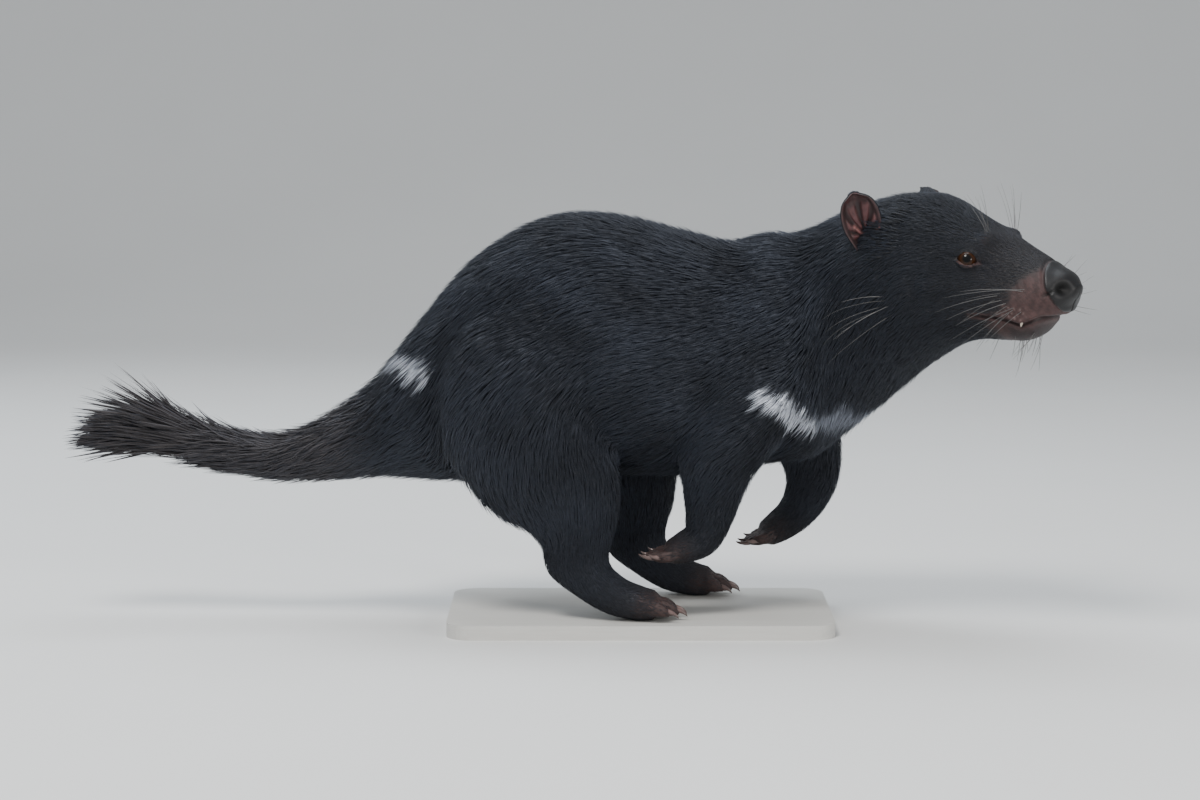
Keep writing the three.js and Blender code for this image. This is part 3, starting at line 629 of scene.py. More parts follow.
class Face:
    """The forms of the face, as displacements of the straight head's surface."""

    @staticmethod
    def lift(p: np.ndarray) -> np.ndarray:
        """Gives the height of the face's soft forms over the plain rings.

        Args:
            p: points of the straight head.

        Returns:
            How far each point moves outwards, in millimetres: the mounds, the muzzle's wrinkles, the
            mouth with its lips, the nose's edge, the nostrils and the cleft.
        """
        x, y, z = p[..., 0], np.abs(p[..., 1]), p[..., 2]
        folded = np.stack([x, y, z], axis=-1)
        total = np.sum([mound.over(folded) for mound in MOUNDS], axis=0)
        total += WRINKLES.over(folded) * np.sin((x - 330 + 0.35 * (z - 290)) * 0.9)

        near, above = line_distance(x, z, MOUTH)
        reach = smooth((x - 299) / 9)
        total -= reach * 2.2 * bell(near / 1.15)
        total += reach * 1.2 * bell((above - 2.9) / 1.9)
        total += reach * 0.7 * bell((above + 2.6) / 1.6)
        total -= reach * np.where(above < 0, np.exp(above / 5), 0.0)

        seam = np.interp(z, NOSE_SEAM[:, 1], NOSE_SEAM[:, 0])
        total -= 1.1 * bell((x - seam) / 1.3) * smooth((x - 352) / 4)
        total += 0.7 * smooth((x - seam) / 2.0) * smooth((seam + 9 - x) / 9)
        hole, slit = Face.nostril(p)
        total -= 8.0 * np.exp(-(hole**3)) * smooth((x - 362) / 6)
        total -= 2.0 * bell(slit) * smooth((y - 8) / 5) * smooth((x - 360) / 5)
        total -= 1.1 * bell(y / 0.9) * smooth((x - 368) / 6) * smooth((294 - z) / 6)
        return total

    @staticmethod
    def nostril(p: np.ndarray) -> tuple[np.ndarray, np.ndarray]:
        """Gives distances from the nostril's hole and from the slit that curls back from it.

        Args:
            p: points of the straight head.

        Returns:
            Both distances, in units of the forms' reach.
        """
        x, y, z = p[..., 0], np.abs(p[..., 1]), p[..., 2]
        hole = np.sqrt(((x - 375.5) / 5.4) ** 2 + ((y - 14) / 6.5) ** 2 + ((z - 290) / 5.0) ** 2)
        slit = np.hypot((x - 368) / 4.2, (z - 286.5 + (368 - x) * 0.5) / 1.7)
        return hole, slit

    @staticmethod
    def opening(
        p: np.ndarray, side: Side
    ) -> tuple[np.ndarray, np.ndarray, np.ndarray, np.ndarray, np.ndarray]:
        """Measures points against the opening of one eye's lids, seen from the eye's middle.

        Args:
            p: points of the straight head.
            side: which eye.

        Returns:
            The way from the eye's middle, its length, the part of it that looks out, the height over
            the line between the corners, and the distance outside the opening's almond.
        """
        centre, look, corner, high = eye_axes(side)
        rel = p - centre
        r = np.maximum(np.linalg.norm(rel, axis=-1), 1e-6)
        across, above = (rel @ corner) * EYE.radius / r, (rel @ high) * EYE.radius / r
        span = 1 - (across / EYE.corner) ** 2
        edge = np.where(above > 0, EYE.upper, EYE.lower) * np.maximum(span, 0)
        past = np.abs(across) - EYE.corner + np.abs(above)
        return rel, r, rel @ look, above, np.where(span > 0, np.abs(above) - edge, past)

    @staticmethod
    def set_eyes(p: np.ndarray) -> np.ndarray:
        """Wraps the skin round each eye and opens the lids.

        Args:
            p: points of the straight head.

        Returns:
            The points, moved along lines from the eye's middle. Over the opening they sink behind
            the eyeball, and round it they stand just outside it as lids.
        """
        out = p.copy()
        for side in Side:
            rel, r, ahead, above, outside = Face.opening(out, side)
            lid = EYE.radius + 0.7 + 0.8 * bell((outside - 1.2) / 1.2)
            lid = lid + 0.9 * bell((outside - 5.0) / 1.6) * (above > 0)
            lid = lid - 0.5 * bell((outside - 3.1) / 0.8)
            lid = lid + 0.5 * bell((outside - 4.0) / 1.3) * (above < 0)
            sunk = EYE.radius - 1.6
            aimed = sunk + (lid - sunk) * smooth((outside + 0.2) / EYE.margin)
            keep = smooth((outside - 3.5) / 5.5)
            target = np.where(outside < 1.2, aimed, np.maximum(aimed * (1 - keep) + r * keep, r))
            moved = r + (target - r) * smooth((ahead / r - 0.05) / 0.3)
            factor = np.where((r < 26) & (ahead > 0), moved / r, 1.0)
            out = eye_axes(side)[0] + rel * factor[..., None]
        return out

    @staticmethod
    def lid_edge(p: np.ndarray) -> np.ndarray:
        """Measures how far points of the face lie from the edge of the nearest lid.

        Args:
            p: points of the straight head.

        Returns:
            The distance outside the opening, in millimetres, negative inside it.
        """
        best = np.full(p.shape[:-1], 99.0)
        for side in Side:
            _, r, ahead, _, outside = Face.opening(p, side)
            best = np.minimum(best, np.where(ahead > 0, np.maximum(outside, (r - 12) * 1.5), 99.0))
        return best

    @staticmethod
    def bareness(p: np.ndarray) -> np.ndarray:
        """Says where the face shows bare skin.

        Args:
            p: points of the straight head.

        Returns:
            0 under full fur to 1 on bare skin, for the muzzle, lips, nose and lids.
        """
        x, z = p[..., 0], p[..., 2]
        edge = 335 - 0.55 * (300 - np.clip(z, 262, 312)) + 3.5 * ripple(p, 16, 5) + 2 * ripple(p, 6, 9)
        side = smooth((x - edge) / 17) * smooth((304 + 0.6 * (x - 345) - z) / 12)
        near, _ = line_distance(x, z, MOUTH)
        lips = smooth((4.2 - near) / 2.6) * smooth((x - 301) / 6)
        chin = smooth((x - 338) / 10) * smooth((266 - z) / 4) * smooth((z - 246) / 8)
        seam = np.interp(z, NOSE_SEAM[:, 1], NOSE_SEAM[:, 0])
        nose = smooth((x - seam + 1.5) / 2)
        lid = Face.lid_edge(p)
        lids = smooth(((1.5 - 0.8 * (z > EYE.z + 1)) - lid) / 0.7)
        return np.clip(np.maximum.reduce([side, lips, chin, nose, lids]), 0, 1)


# Colour


@dataclass(frozen=True)
class Tones:
    """The coat's and skin's colours, as linear red, green and blue. A few of them are painted shade or
    a painted highlight, as marked.
    """

    black: Triple = (0.0068, 0.0069, 0.0080)
    slate: Triple = (0.0320, 0.0368, 0.0500)
    brown: Triple = (0.0240, 0.0185, 0.0170)
    tail: Triple = (0.0500, 0.0440, 0.0450)
    white: Triple = (0.62, 0.65, 0.72)
    # painted shade: the grey of the white chest bar at its forward end
    ash: Triple = (0.36, 0.39, 0.46)
    rosy: Triple = (0.050, 0.0255, 0.0245)
    lip: Triple = (0.014, 0.006, 0.006)
    rim: Triple = (0.060, 0.027, 0.024)
    dot: Triple = (0.20, 0.145, 0.135)
    nose: Triple = (0.0060, 0.0056, 0.0062)
    # painted shade: near black inside the nostril and its slit
    hole: Triple = (0.0010, 0.0008, 0.0008)
    paw: Triple = (0.050, 0.029, 0.027)
    ear: Triple = (0.075, 0.027, 0.028)
    # painted shade: the dark between the ear's fins
    fold: Triple = (0.0075, 0.0028, 0.0032)
    # painted highlight: the light on the ear's forked ridge
    ridge: Triple = (0.20, 0.080, 0.074)


TONES = Tones()


def band(p: np.ndarray, line: tuple[Pair, ...], half: float, soft: float) -> np.ndarray:
    """A band of the side view about a line: 1 inside half its width, to 0 where it has faded out."""
    near, _ = line_distance(p[..., 0], p[..., 2], np.array(line, float))
    return smooth((half + soft / 2 - near) / soft)


def mix(a: np.ndarray, b: tuple[float, ...] | np.ndarray, k: np.ndarray) -> np.ndarray:
    """Blends colours: the first, plus the share k of its difference to the second."""
    return a + (np.asarray(b) - a) * k[..., None]


def markings(p: np.ndarray) -> tuple[np.ndarray, np.ndarray]:
    """Says where the white patches lie.

    Args:
        p: points of the straight animal.

    Returns:
        The share of white, and the share of white in painted shade at the chest bar's forward end.
    """
    jag = p.copy()
    jag[..., 2] = p[..., 2] + 3.0 * ripple(p, 9, 3) + 2.0 * ripple(p, 26, 4)
    jag[..., 0] = p[..., 0] + 3.5 * ripple(p, 10, 6)
    right = smooth((-p[..., 1] - 6) / 10)
    left = smooth((p[..., 1] - 10) / 10)
    rump = band(jag, ((-219, 221), (-201, 219), (-184, 210)), 7.0, 6)
    rump_left = band(jag, ((-206, 220), (-184, 210)), 7.5, 7)
    chest = band(jag, ((96, 195), (108, 190), (121, 182), (134, 174), (146, 169)), 8.0, 6)
    chest_left = band(jag, ((108, 190), (126, 180), (146, 172)), 7.5, 7)
    # the chest bar's forward end, where the white is greyed with painted shade
    ash = band(jag, ((154, 170), (170, 171), (184, 174)), 6.5, 7)
    white = np.maximum.reduce([rump * right, rump_left * left, chest * right, chest_left * left])
    return np.clip(white, 0, 1), np.clip(ash * (1 - white), 0, 1)


def coat_tone(p: np.ndarray, foot: np.ndarray | float = 0.0) -> np.ndarray:
    """Gives the coat's colour at places on the animal, with a painted sheen that adds blue-grey towards
    the top.

    Args:
        p: points of the straight animal.
        foot: 0 on the leg to 1 on the toes, where the coat turns brown.

    Returns:
        One colour for each point.
    """
    x, high = p[..., 0], smooth((p[..., 2] - 120) / 170)
    body = 0.22 + 0.78 * smooth((228 - x) / 80)
    cloudy = 0.8 + 0.3 * ripple(p, 60, 8)
    base = np.broadcast_to(np.array(TONES.black), p.shape).copy()
    # the slate is the coat's own blue-grey; the extra quarter of it that high adds towards the top is a
    # painted sheen of the light from above
    base = mix(base, TONES.slate, np.clip((0.55 + 0.25 * high) * cloudy * body, 0, 1))
    base = mix(base, TONES.tail, 0.8 * smooth((-205 - x) / 70))
    base = mix(base, TONES.brown, 0.55 * smooth((-365 - x) / 50))
    base = mix(base, TONES.brown, 0.8 * np.asarray(foot) + np.zeros(x.shape))
    base = mix(base, TONES.brown, 0.4 * smooth((x - 290) / 40))
    white, ash = markings(p)
    # greys the end of the chest bar with painted shade, then lays on the white
    return mix(mix(base, TONES.ash, 0.6 * ash), TONES.white, white)


def skin_tone(p: np.ndarray, toes: np.ndarray) -> tuple[np.ndarray, np.ndarray]:
    """Gives the skin's colour and how wet it is.

    Args:
        p: points of the straight animal.
        toes: 0 on the body to 1 on the toes.

    Returns:
        The colours and the wetness.
    """
    # the skin under the fur takes the coat's tone at 0.8 of its brightness: painted shade at the roots
    # of the fur
    tone = coat_tone(p, toes) * 0.8
    x, y, z = p[..., 0], np.abs(p[..., 1]), p[..., 2]
    bare = Face.bareness(p) * (x > 270)
    mottled = np.clip(0.5 + 0.5 * ripple(p, 7, 11) + 0.3 * ripple(p, 2.6, 12), 0, 1)
    near, above = line_distance(x, z, MOUTH)
    warm = np.clip(mottled + 0.5 * smooth((12 - near) / 8) * (above > 0), 0, 1.3)
    rosy = mix(np.broadcast_to(np.array(TONES.rosy) * 0.55, p.shape).copy(), TONES.rosy, warm)
    tone = mix(tone, rosy, bare**1.7)
    chin = smooth((-above - 2.5) / 5) * smooth((x - 330) / 10)
    tone = mix(tone, np.array(TONES.rosy) * (0.27, 0.34, 0.38), 0.85 * chin * bare)
    dotted = 0.55 * smooth((x - 318) / 8) * smooth((354 - x) / 6) * bare
    for row, gap in enumerate((4.2, 7.6, 11.4)):
        ring = np.abs(above - gap - 0.5 * np.sin(x * 0.9 + row))
        dot = np.hypot(ring, 4.6 * (((x - 306 + 2.3 * row) / 4.6 + 0.5) % 1 - 0.5))
        tone = mix(tone, TONES.dot, bell(dot / 0.75) * dotted)
    lips = smooth((1.9 - near) / 1.4) * smooth((x - 299) / 8)
    tone = mix(tone, TONES.lip, 0.92 * lips)
    edge = Face.lid_edge(p)
    low = smooth((EYE.z - z + 1.5) / 3)
    rim = smooth((2.2 - edge) / 1.0)
    front = smooth((x - 303) / 6) * smooth((5.5 - edge) / 4)
    tone = mix(tone, TONES.rim, np.maximum(0.85 * rim * low, 0.2 * front))
    tone = mix(tone, TONES.lip, smooth((0.9 - edge) / 0.7) * (1 - 0.5 * low))
    tone = mix(tone, TONES.black, smooth((3.0 - edge) / 1.5) * (1 - low) * 0.8)
    seam = np.interp(z, NOSE_SEAM[:, 1], NOSE_SEAM[:, 0])
    nose = smooth((x - seam) / 2.0) * (x > 340) * smooth((z - 264.5) / 3)
    tone = mix(tone, TONES.nose, nose)
    hole, slit = Face.nostril(p)
    # the nostril's hole and the slit that curls back from it go near black: painted shade in the
    # recesses
    tone = mix(tone, TONES.hole, smooth(2.4 * np.exp(-(hole**3)) + bell(slit)) * (x > 360))
    spot = bell(np.hypot(x - 313.5, z - 327) / 2.4) * (y > 16)
    tone = mix(tone, TONES.rim, 0.5 * spot)
    tone = mix(tone, TONES.paw, 0.85 * toes)
    return tone, np.clip(nose * (1 - np.exp(-((hole / 1.5) ** 4))) + 0.5 * lips + 0.8 * rim * low, 0, 1)


# Meshes

DOME_STEPS = np.radians([25, 48, 68, 82])


def mesh_object(name: str, verts: np.ndarray, faces: list[np.ndarray]) -> bpy.types.Object:
    """Writes a mesh object from whole arrays.

    Args:
        name: the object's name.
        verts: points in millimetres.
        faces: arrays of corner numbers, one array for each count of corners.

    Returns:
        The new object, linked to the scene.
    """
    mesh = bpy.data.meshes.new(name)
    loops = np.concatenate([f.reshape(-1) for f in faces]).astype(np.int32)
    totals = np.concatenate([np.full(len(f), f.shape[1]) for f in faces]).astype(np.int32)
    starts = np.concatenate([[0], np.cumsum(totals)[:-1]]).astype(np.int32)
    mesh.vertices.add(len(verts))
    mesh.vertices.foreach_set("co", (np.asarray(verts) * MM).astype(np.float32).reshape(-1))
    mesh.loops.add(len(loops))
    mesh.loops.foreach_set("vertex_index", loops)
    mesh.polygons.add(len(totals))
    mesh.polygons.foreach_set("loop_start", starts)
    mesh.polygons.foreach_set("use_smooth", np.ones(len(totals), bool))
    mesh.update(calc_edges=True)
    mesh.validate()
    obj = bpy.data.objects.new(name, mesh)
    bpy.context.scene.collection.objects.link(obj)
    return obj


def set_colours(obj: bpy.types.Object, name: str, values: np.ndarray) -> None:
    """Stores one colour for each point of a mesh under a name."""
    attribute = obj.data.attributes.new(name, "FLOAT_COLOR", "POINT")
    full = np.ones((len(values), 4), np.float32)
    full[:, :3] = values
    attribute.data.foreach_set("color", full.reshape(-1))


def set_values(obj: bpy.types.Object, name: str, values: np.ndarray) -> None:
    """Stores one number for each point of a mesh under a name."""
    attribute = obj.data.attributes.new(name, "FLOAT", "POINT")
    attribute.data.foreach_set("value", values.astype(np.float32))


def set_uv(obj: bpy.types.Object, uv: np.ndarray) -> None:
    """Stores the bake map from one place for each point."""
    layer = obj.data.uv_layers.new(name="OFBake")
    corners = read_items(obj.data.loops, "vertex_index", 1, np.int32)[:, 0]
    layer.data.foreach_set("uv", uv[corners].astype(np.float32).reshape(-1))


def read_items(
    items: bpy.types.bpy_prop_collection, key: str, width: int, kind: type = np.float32
) -> np.ndarray:
    """Reads one property of all of a mesh's items, one row for each."""
    out = np.empty(len(items) * width, kind)
    items.foreach_get(key, out)
    return out.reshape(-1, width)


def neighbour_sum(values: np.ndarray, a: np.ndarray, b: np.ndarray) -> np.ndarray:
    """Adds up, for each point, the rows of the points that share an edge with it.

    Args:
        values: one row for each point.
        a: the first point of each edge.
        b: the second point of each edge.

    Returns:
        One row of sums for each point.
    """
    count = len(values)
    columns = [
        np.bincount(a, column[b], minlength=count) + np.bincount(b, column[a], minlength=count)
        for column in values.T
    ]
    return np.stack(columns, axis=-1)


def ring_faces(rows: int, columns: int) -> np.ndarray:
    """Numbers the four-cornered faces of a grid that closes round.

    Args:
        rows: the count of rings.
        columns: the count of points in each.

    Returns:
        One row of four numbers for each face.
    """
    i, j = np.meshgrid(np.arange(rows - 1), np.arange(columns), indexing="ij")
    a = i * columns + j
    b = i * columns + (j + 1) % columns
    return np.stack([a, b, b + columns, a + columns], axis=-1).reshape(-1, 4)


def closed_tube(rings: np.ndarray, start_dome: float, end_dome: float) -> Shell:
    """Closes a row of rings with a dome at each end.

    Args:
        rings: an array of rings, each an array of points.
        start_dome: how far the first dome stands out.
        end_dome: how far the last one does.

    Returns:
        The points and the faces.
    """
    caps = []
    for ring, inner, depth in ((rings[0], rings[1], start_dome), (rings[-1], rings[-2], end_dome)):
        middle = ring.mean(axis=0)
        way = unit(middle - inner.mean(axis=0))
        out = way * depth
        dome = [middle + (ring - middle) * math.cos(s) + out * math.sin(s) for s in DOME_STEPS]
        caps.append(np.array(dome))
        caps.append(middle + out)
    body = np.concatenate([caps[0][::-1], rings, caps[2]])
    rows, columns = body.shape[:2]
    verts = np.concatenate([body.reshape(-1, 3), [caps[1]], [caps[3]]])
    first, last = rows * columns, rows * columns + 1
    j = np.arange(columns)
    k = (j + 1) % columns
    base = (rows - 1) * columns
    fans = np.concatenate(
        [
            np.stack([k, j, np.full(columns, first)], axis=-1),
            np.stack([base + j, base + k, np.full(columns, last)], axis=-1),
        ]
    )
    return verts, [ring_faces(rows, columns), fans]


def outward(verts: np.ndarray, faces: list[np.ndarray]) -> list[np.ndarray]:
    """Turns a closed mesh's faces so that they look outwards.

    Args:
        verts: the points.
        faces: the faces.

    Returns:
        The faces, all reversed where the volume came out negative.
    """
    volume = 0.0
    for f in faces:
        for k in range(1, f.shape[1] - 1):
            a, b, c = verts[f[:, 0]], verts[f[:, k]], verts[f[:, k + 1]]
            volume += np.sum(a * np.cross(b, c))
    return [f[:, ::-1] for f in faces] if volume < 0 else faces


# Materials


class Paint:
    """Builds one node material."""

    def __init__(self, name: str) -> None:
        """Starts a material with its shader.

        Args:
            name: the material's name.
        """
        self.material = bpy.data.materials.new(name)
        self.material.use_nodes = True
        self.tree = self.material.node_tree
        self.shader = self.tree.nodes["Principled BSDF"]

    def node(self, kind: str, **settings: object) -> bpy.types.Node:
        """Adds a node.

        Args:
            kind: the node's type.
            settings: values for its properties, or for its inputs by name.

        Returns:
            The node.
        """
        made = self.tree.nodes.new(kind)
        for key, value in settings.items():
            label = key.replace("_", " ")
            if label in made.inputs:
                made.inputs[label].default_value = value
            else:
                setattr(made, key, value)
        return made

    def link(self, source: Socket, target: Socket) -> None:
        """Joins two sockets."""
        self.tree.links.new(source, target)

    def set(self, **values: object) -> None:
        """Sets the shader's own sockets, with underscores for spaces."""
        for key, value in values.items():
            self.shader.inputs[key.replace("_", " ")].default_value = value

    def noise(self, scale: float, detail: float = 3.0, roughness: float = 0.55) -> Socket:
        """Adds noise on the object's own coordinates and gives its value socket."""
        place = self.node("ShaderNodeTexCoord")
        made = self.node("ShaderNodeTexNoise", Scale=scale, Detail=detail, Roughness=roughness)
        self.link(place.outputs["Object"], made.inputs["Vector"])
        return made.outputs["Fac"]

    def span(self, value: Socket, low: float, high: float) -> Socket:
        """Maps a socket from 0 and 1 to two limits."""
        made = self.node("ShaderNodeMapRange")
        made.inputs["To Min"].default_value = low
        made.inputs["To Max"].default_value = high
        self.link(value, made.inputs["Value"])
        return made.outputs["Result"]

    def times(self, colour: Socket, value: Socket) -> Socket:
        """Multiplies a colour by a number."""
        made = self.node("ShaderNodeVectorMath", operation="SCALE")
        self.link(colour, made.inputs[0])
        self.link(value, made.inputs["Scale"])
        return made.outputs[0]

    def toned(self, noise: Socket, limits: Pair) -> None:
        """Colours the shader by each point's stored tone, varied by noise between two limits."""
        tone = self.node("ShaderNodeAttribute", attribute_name="tone")
        shade = self.span(noise, *limits)
        self.link(self.times(tone.outputs["Color"], shade), self.shader.inputs["Base Color"])

    def between(self, value: Socket, dark: Colour, light: Colour) -> None:
        """Colours the shader between two colours."""
        colour = self.node("ShaderNodeMix", data_type="RGBA")
        colour.inputs["A"].default_value = dark
        colour.inputs["B"].default_value = light
        self.link(value, colour.inputs["Factor"])
        self.link(colour.outputs["Result"], self.shader.inputs["Base Color"])

    def ramp(self, value: Socket, stops: Stops) -> Socket:
        """Reads a colour ramp, whose first two stops are the ones that it starts with."""
        made = self.node("ShaderNodeValToRGB")
        elements = made.color_ramp.elements
        for i, (position, colour) in enumerate(stops):
            if i < 2:
                elements[i].position, elements[i].color = position, colour
            else:
                elements.new(position).color = colour
        self.link(value, made.inputs["Fac"])
        return made.outputs["Color"]

    def bump(self, height: Socket, strength: float, distance: float) -> bpy.types.Node:
        """Adds a bump node on the shader's normal."""
        made = self.node("ShaderNodeBump", Strength=strength, Distance=distance)
        self.link(height, made.inputs["Height"])
        self.link(made.outputs["Normal"], self.shader.inputs["Normal"])
        return made


@dataclass(frozen=True)
class FurFinish:
    """The fur: each tuft's own tone, with fine streaks, a soft gloss and a cool sheen."""

    streak: Pair = (0.8, 1.2)
    rough: Pair = (0.56, 0.72)
    sheen: Colour = (0.55, 0.68, 1.0, 1.0)

    def make(self) -> Material:
        """Builds the material."""
        paint = Paint("coat_fur")
        paint.toned(paint.noise(260, 2.0), self.streak)
        paint.link(paint.span(paint.noise(90, 2.0), *self.rough), paint.shader.inputs["Roughness"])
        paint.set(Sheen_Weight=0.06, Sheen_Roughness=0.5, Sheen_Tint=self.sheen)
        paint.set(Specular_IOR_Level=0.3)
        return paint.material


@dataclass(frozen=True)
class HideFinish:
    """The skin: its tone by place, pores, and a gloss where the nose, lips and lids are wet."""

    mottle: Pair = (0.75, 1.25)
    rough: Pair = (0.62, 0.42)
    pores: Pair = (0.35, 0.1)
    depth: float = 0.0005
    glow: Triple = (1.0, 0.35, 0.25)

    def make(self) -> Material:
        """Builds the material."""
        paint = Paint("skin_hide")
        wet = paint.node("ShaderNodeAttribute", attribute_name="wet").outputs["Fac"]
        paint.toned(paint.noise(420, 4.0), self.mottle)
        paint.link(paint.span(wet, *self.rough), paint.shader.inputs["Roughness"])
        place = paint.node("ShaderNodeTexCoord")
        cells = paint.node("ShaderNodeTexVoronoi", Scale=1100.0, feature="F1")
        paint.link(place.outputs["Object"], cells.inputs["Vector"])
        both = paint.node("ShaderNodeMath", operation="ADD")
        paint.link(cells.outputs["Distance"], both.inputs[0])
        paint.link(paint.noise(1500, 3.0), both.inputs[1])
        bump = paint.bump(both.outputs[0], self.pores[0], self.depth)
        paint.link(paint.span(wet, *self.pores), bump.inputs["Strength"])
        paint.set(Specular_IOR_Level=0.32)
        paint.set(Subsurface_Weight=0.08, Subsurface_Scale=0.003, Subsurface_Radius=self.glow)
        return paint.material


@dataclass(frozen=True)
class EarFinish:
    """The ear: pink and folded within, black behind, with a little light coming through."""

    mottle: Pair = (0.7, 1.3)
    depth: float = 0.0004
    rough: float = 0.66

    def make(self) -> Material:
        """Builds the material."""
        paint = Paint("ear_skin")
        paint.toned(paint.noise(300, 4.0), self.mottle)
        paint.bump(paint.noise(900, 4.0), 0.25, self.depth)
        paint.set(Roughness=self.rough, Subsurface_Weight=0.1, Subsurface_Scale=0.002)
        return paint.material


@dataclass(frozen=True)
class EyeFinish:
    """The eye: dark pupil, brown iris and dark rim under a clear wet coat, by distance from its axis.

    stops are the distance of each colour, and fibre is how far the iris's grain shifts them.
    """

    stops: Stops = (
        (0.0, (0.002, 0.002, 0.002, 1)),
        (0.3, (0.002, 0.002, 0.002, 1)),
        (0.35, (0.012, 0.0045, 0.0015, 1)),
        (0.55, (0.030, 0.0105, 0.003, 1)),
        (0.76, (0.017, 0.006, 0.002, 1)),
        (0.86, (0.004, 0.003, 0.003, 1)),
        (1.0, (0.012, 0.007, 0.006, 1)),
    )
    fibre: float = 0.05

    def make(self) -> Material:
        """Builds the material."""
        paint = Paint("eye_wet")
        gaze = paint.node("ShaderNodeAttribute", attribute_name="gaze")
        stray = paint.node("ShaderNodeMath", operation="MULTIPLY_ADD")
        paint.link(paint.noise(1400, 4.0), stray.inputs[0])
        stray.inputs[1].default_value = self.fibre
        paint.link(gaze.outputs["Fac"], stray.inputs[2])
        paint.link(paint.ramp(stray.outputs[0], self.stops), paint.shader.inputs["Base Color"])
        paint.set(Roughness=0.5, Specular_IOR_Level=0.04, Coat_Weight=0.3, Coat_Roughness=0.03)
        return paint.material


@dataclass(frozen=True)
class HornFinish:
    """The claws: horn, dusky at the root and paler along the blade, with fine lengthwise grain."""

    stops: Stops = (
        (0.0, (0.045, 0.026, 0.025, 1)),
        (1.0, (0.050, 0.033, 0.030, 1)),
        (0.5, (0.135, 0.085, 0.076, 1)),
    )
    grain: Pair = (0.8, 1.2)
    depth: float = 0.0003

    def make(self) -> Material:
        """Builds the material."""
        paint = Paint("claw_horn")
        reach = paint.node("ShaderNodeAttribute", attribute_name="reach")
        colour = paint.ramp(reach.outputs["Fac"], self.stops)
        grain = paint.span(paint.noise(700, 4.0), *self.grain)
        paint.link(paint.times(colour, grain), paint.shader.inputs["Base Color"])
        paint.bump(paint.noise(900, 3.0), 0.12, self.depth)
        paint.set(Roughness=0.32, Coat_Weight=0.2, Coat_Roughness=0.2)
        return paint.material


@dataclass(frozen=True)
class WhiskerFinish:
    """The whiskers: stiff hairs, each of its own grey."""

    shade: Pair = (0.7, 1.3)
    rough: float = 0.35

    def make(self) -> Material:
        """Builds the material."""
        paint = Paint("whisker_hair")
        paint.toned(paint.noise(60, 2.0), self.shade)
        paint.set(Roughness=self.rough)
        return paint.material


@dataclass(frozen=True)
class ToothFinish:
    """The tip of the canine: ivory, slightly uneven."""

    dark: Colour = (0.30, 0.25, 0.20, 1)
    light: Colour = (0.42, 0.37, 0.31, 1)

    def make(self) -> Material:
        """Builds the material."""
        paint = Paint("tooth_ivory")
        paint.between(paint.noise(500, 3.0), self.dark, self.light)
        paint.set(Roughness=0.25, Coat_Weight=0.4, Coat_Roughness=0.1)
        return paint.material


@dataclass(frozen=True)
class BoardFinish:
    """The stand: satin painted board with faint brush grain."""

    stretch: Triple = (6.0, 90.0, 90.0)
    dark: Colour = (0.50, 0.49, 0.46, 1)
    light: Colour = (0.60, 0.59, 0.56, 1)
    rough: Pair = (0.42, 0.58)
    depth: float = 0.0004

    def make(self) -> Material:
        """Builds the material."""
        paint = Paint("stand_board")
        place = paint.node("ShaderNodeTexCoord")
        stretch = paint.node("ShaderNodeMapping")
        stretch.inputs["Scale"].default_value = self.stretch
        paint.link(place.outputs["Object"], stretch.inputs["Vector"])
        grain = paint.node("ShaderNodeTexNoise", Scale=6.0, Detail=6.0)
        paint.link(stretch.outputs["Vector"], grain.inputs["Vector"])
        paint.between(grain.outputs["Fac"], self.dark, self.light)
        paint.link(paint.span(grain.outputs["Fac"], *self.rough), paint.shader.inputs["Roughness"])
        paint.bump(grain.outputs["Fac"], 0.12, self.depth)
        return paint.material


@dataclass(frozen=True)
class FloorFinish:
    """The floor: plain and pale."""

    dark: Colour = (0.62, 0.62, 0.61, 1)
    light: Colour = (0.66, 0.66, 0.65, 1)
    rough: float = 0.8

    def make(self) -> Material:
        """Builds the material."""
        paint = Paint("floor_pale")
        paint.between(paint.noise(3, 3.0), self.dark, self.light)
        paint.set(Roughness=self.rough)
        return paint.material


# Toes and claws


@dataclass(frozen=True)
class ToeSet:
    """The toes of a foot: their count and sizes, and which way the sole looks."""

    count: int
    spread: float
    fan: float
    length: float
    thick: float
    claw: float
    sole_down: bool
    dip: float
    lift: float


HIND_TOES = ToeSet(4, 15.5, 0.16, 19, 6.9, 13, True, 0.0, -1.6)
FORE_TOES = ToeSet(5, 14.5, 0.2, 18, 5.8, 11.5, False, 0.1, 0.0)


def rod(
    path: np.ndarray, wide: np.ndarray, high: np.ndarray, across: np.ndarray, sides: int
) -> np.ndarray:
    """Rings along a path, each an ellipse square to it.

    Args:
        path: the points of the middle line.
        wide: half the width at each.
        high: half the height at each.
        across: the direction of the width.
        sides: points in a ring.

    Returns:
        An array of rings.
    """
    way = unit(np.gradient(path, axis=0))
    flat = unit(across - way * np.sum(across * way, axis=-1, keepdims=True))
    up = np.cross(way, flat)
    angle = np.arange(sides) / sides * 2 * math.pi
    ring = (
        flat[:, None] * (wide[:, None] * np.cos(angle))[..., None]
        + up[:, None] * (high[:, None] * np.sin(angle))[..., None]
    )
    return path[:, None] + ring


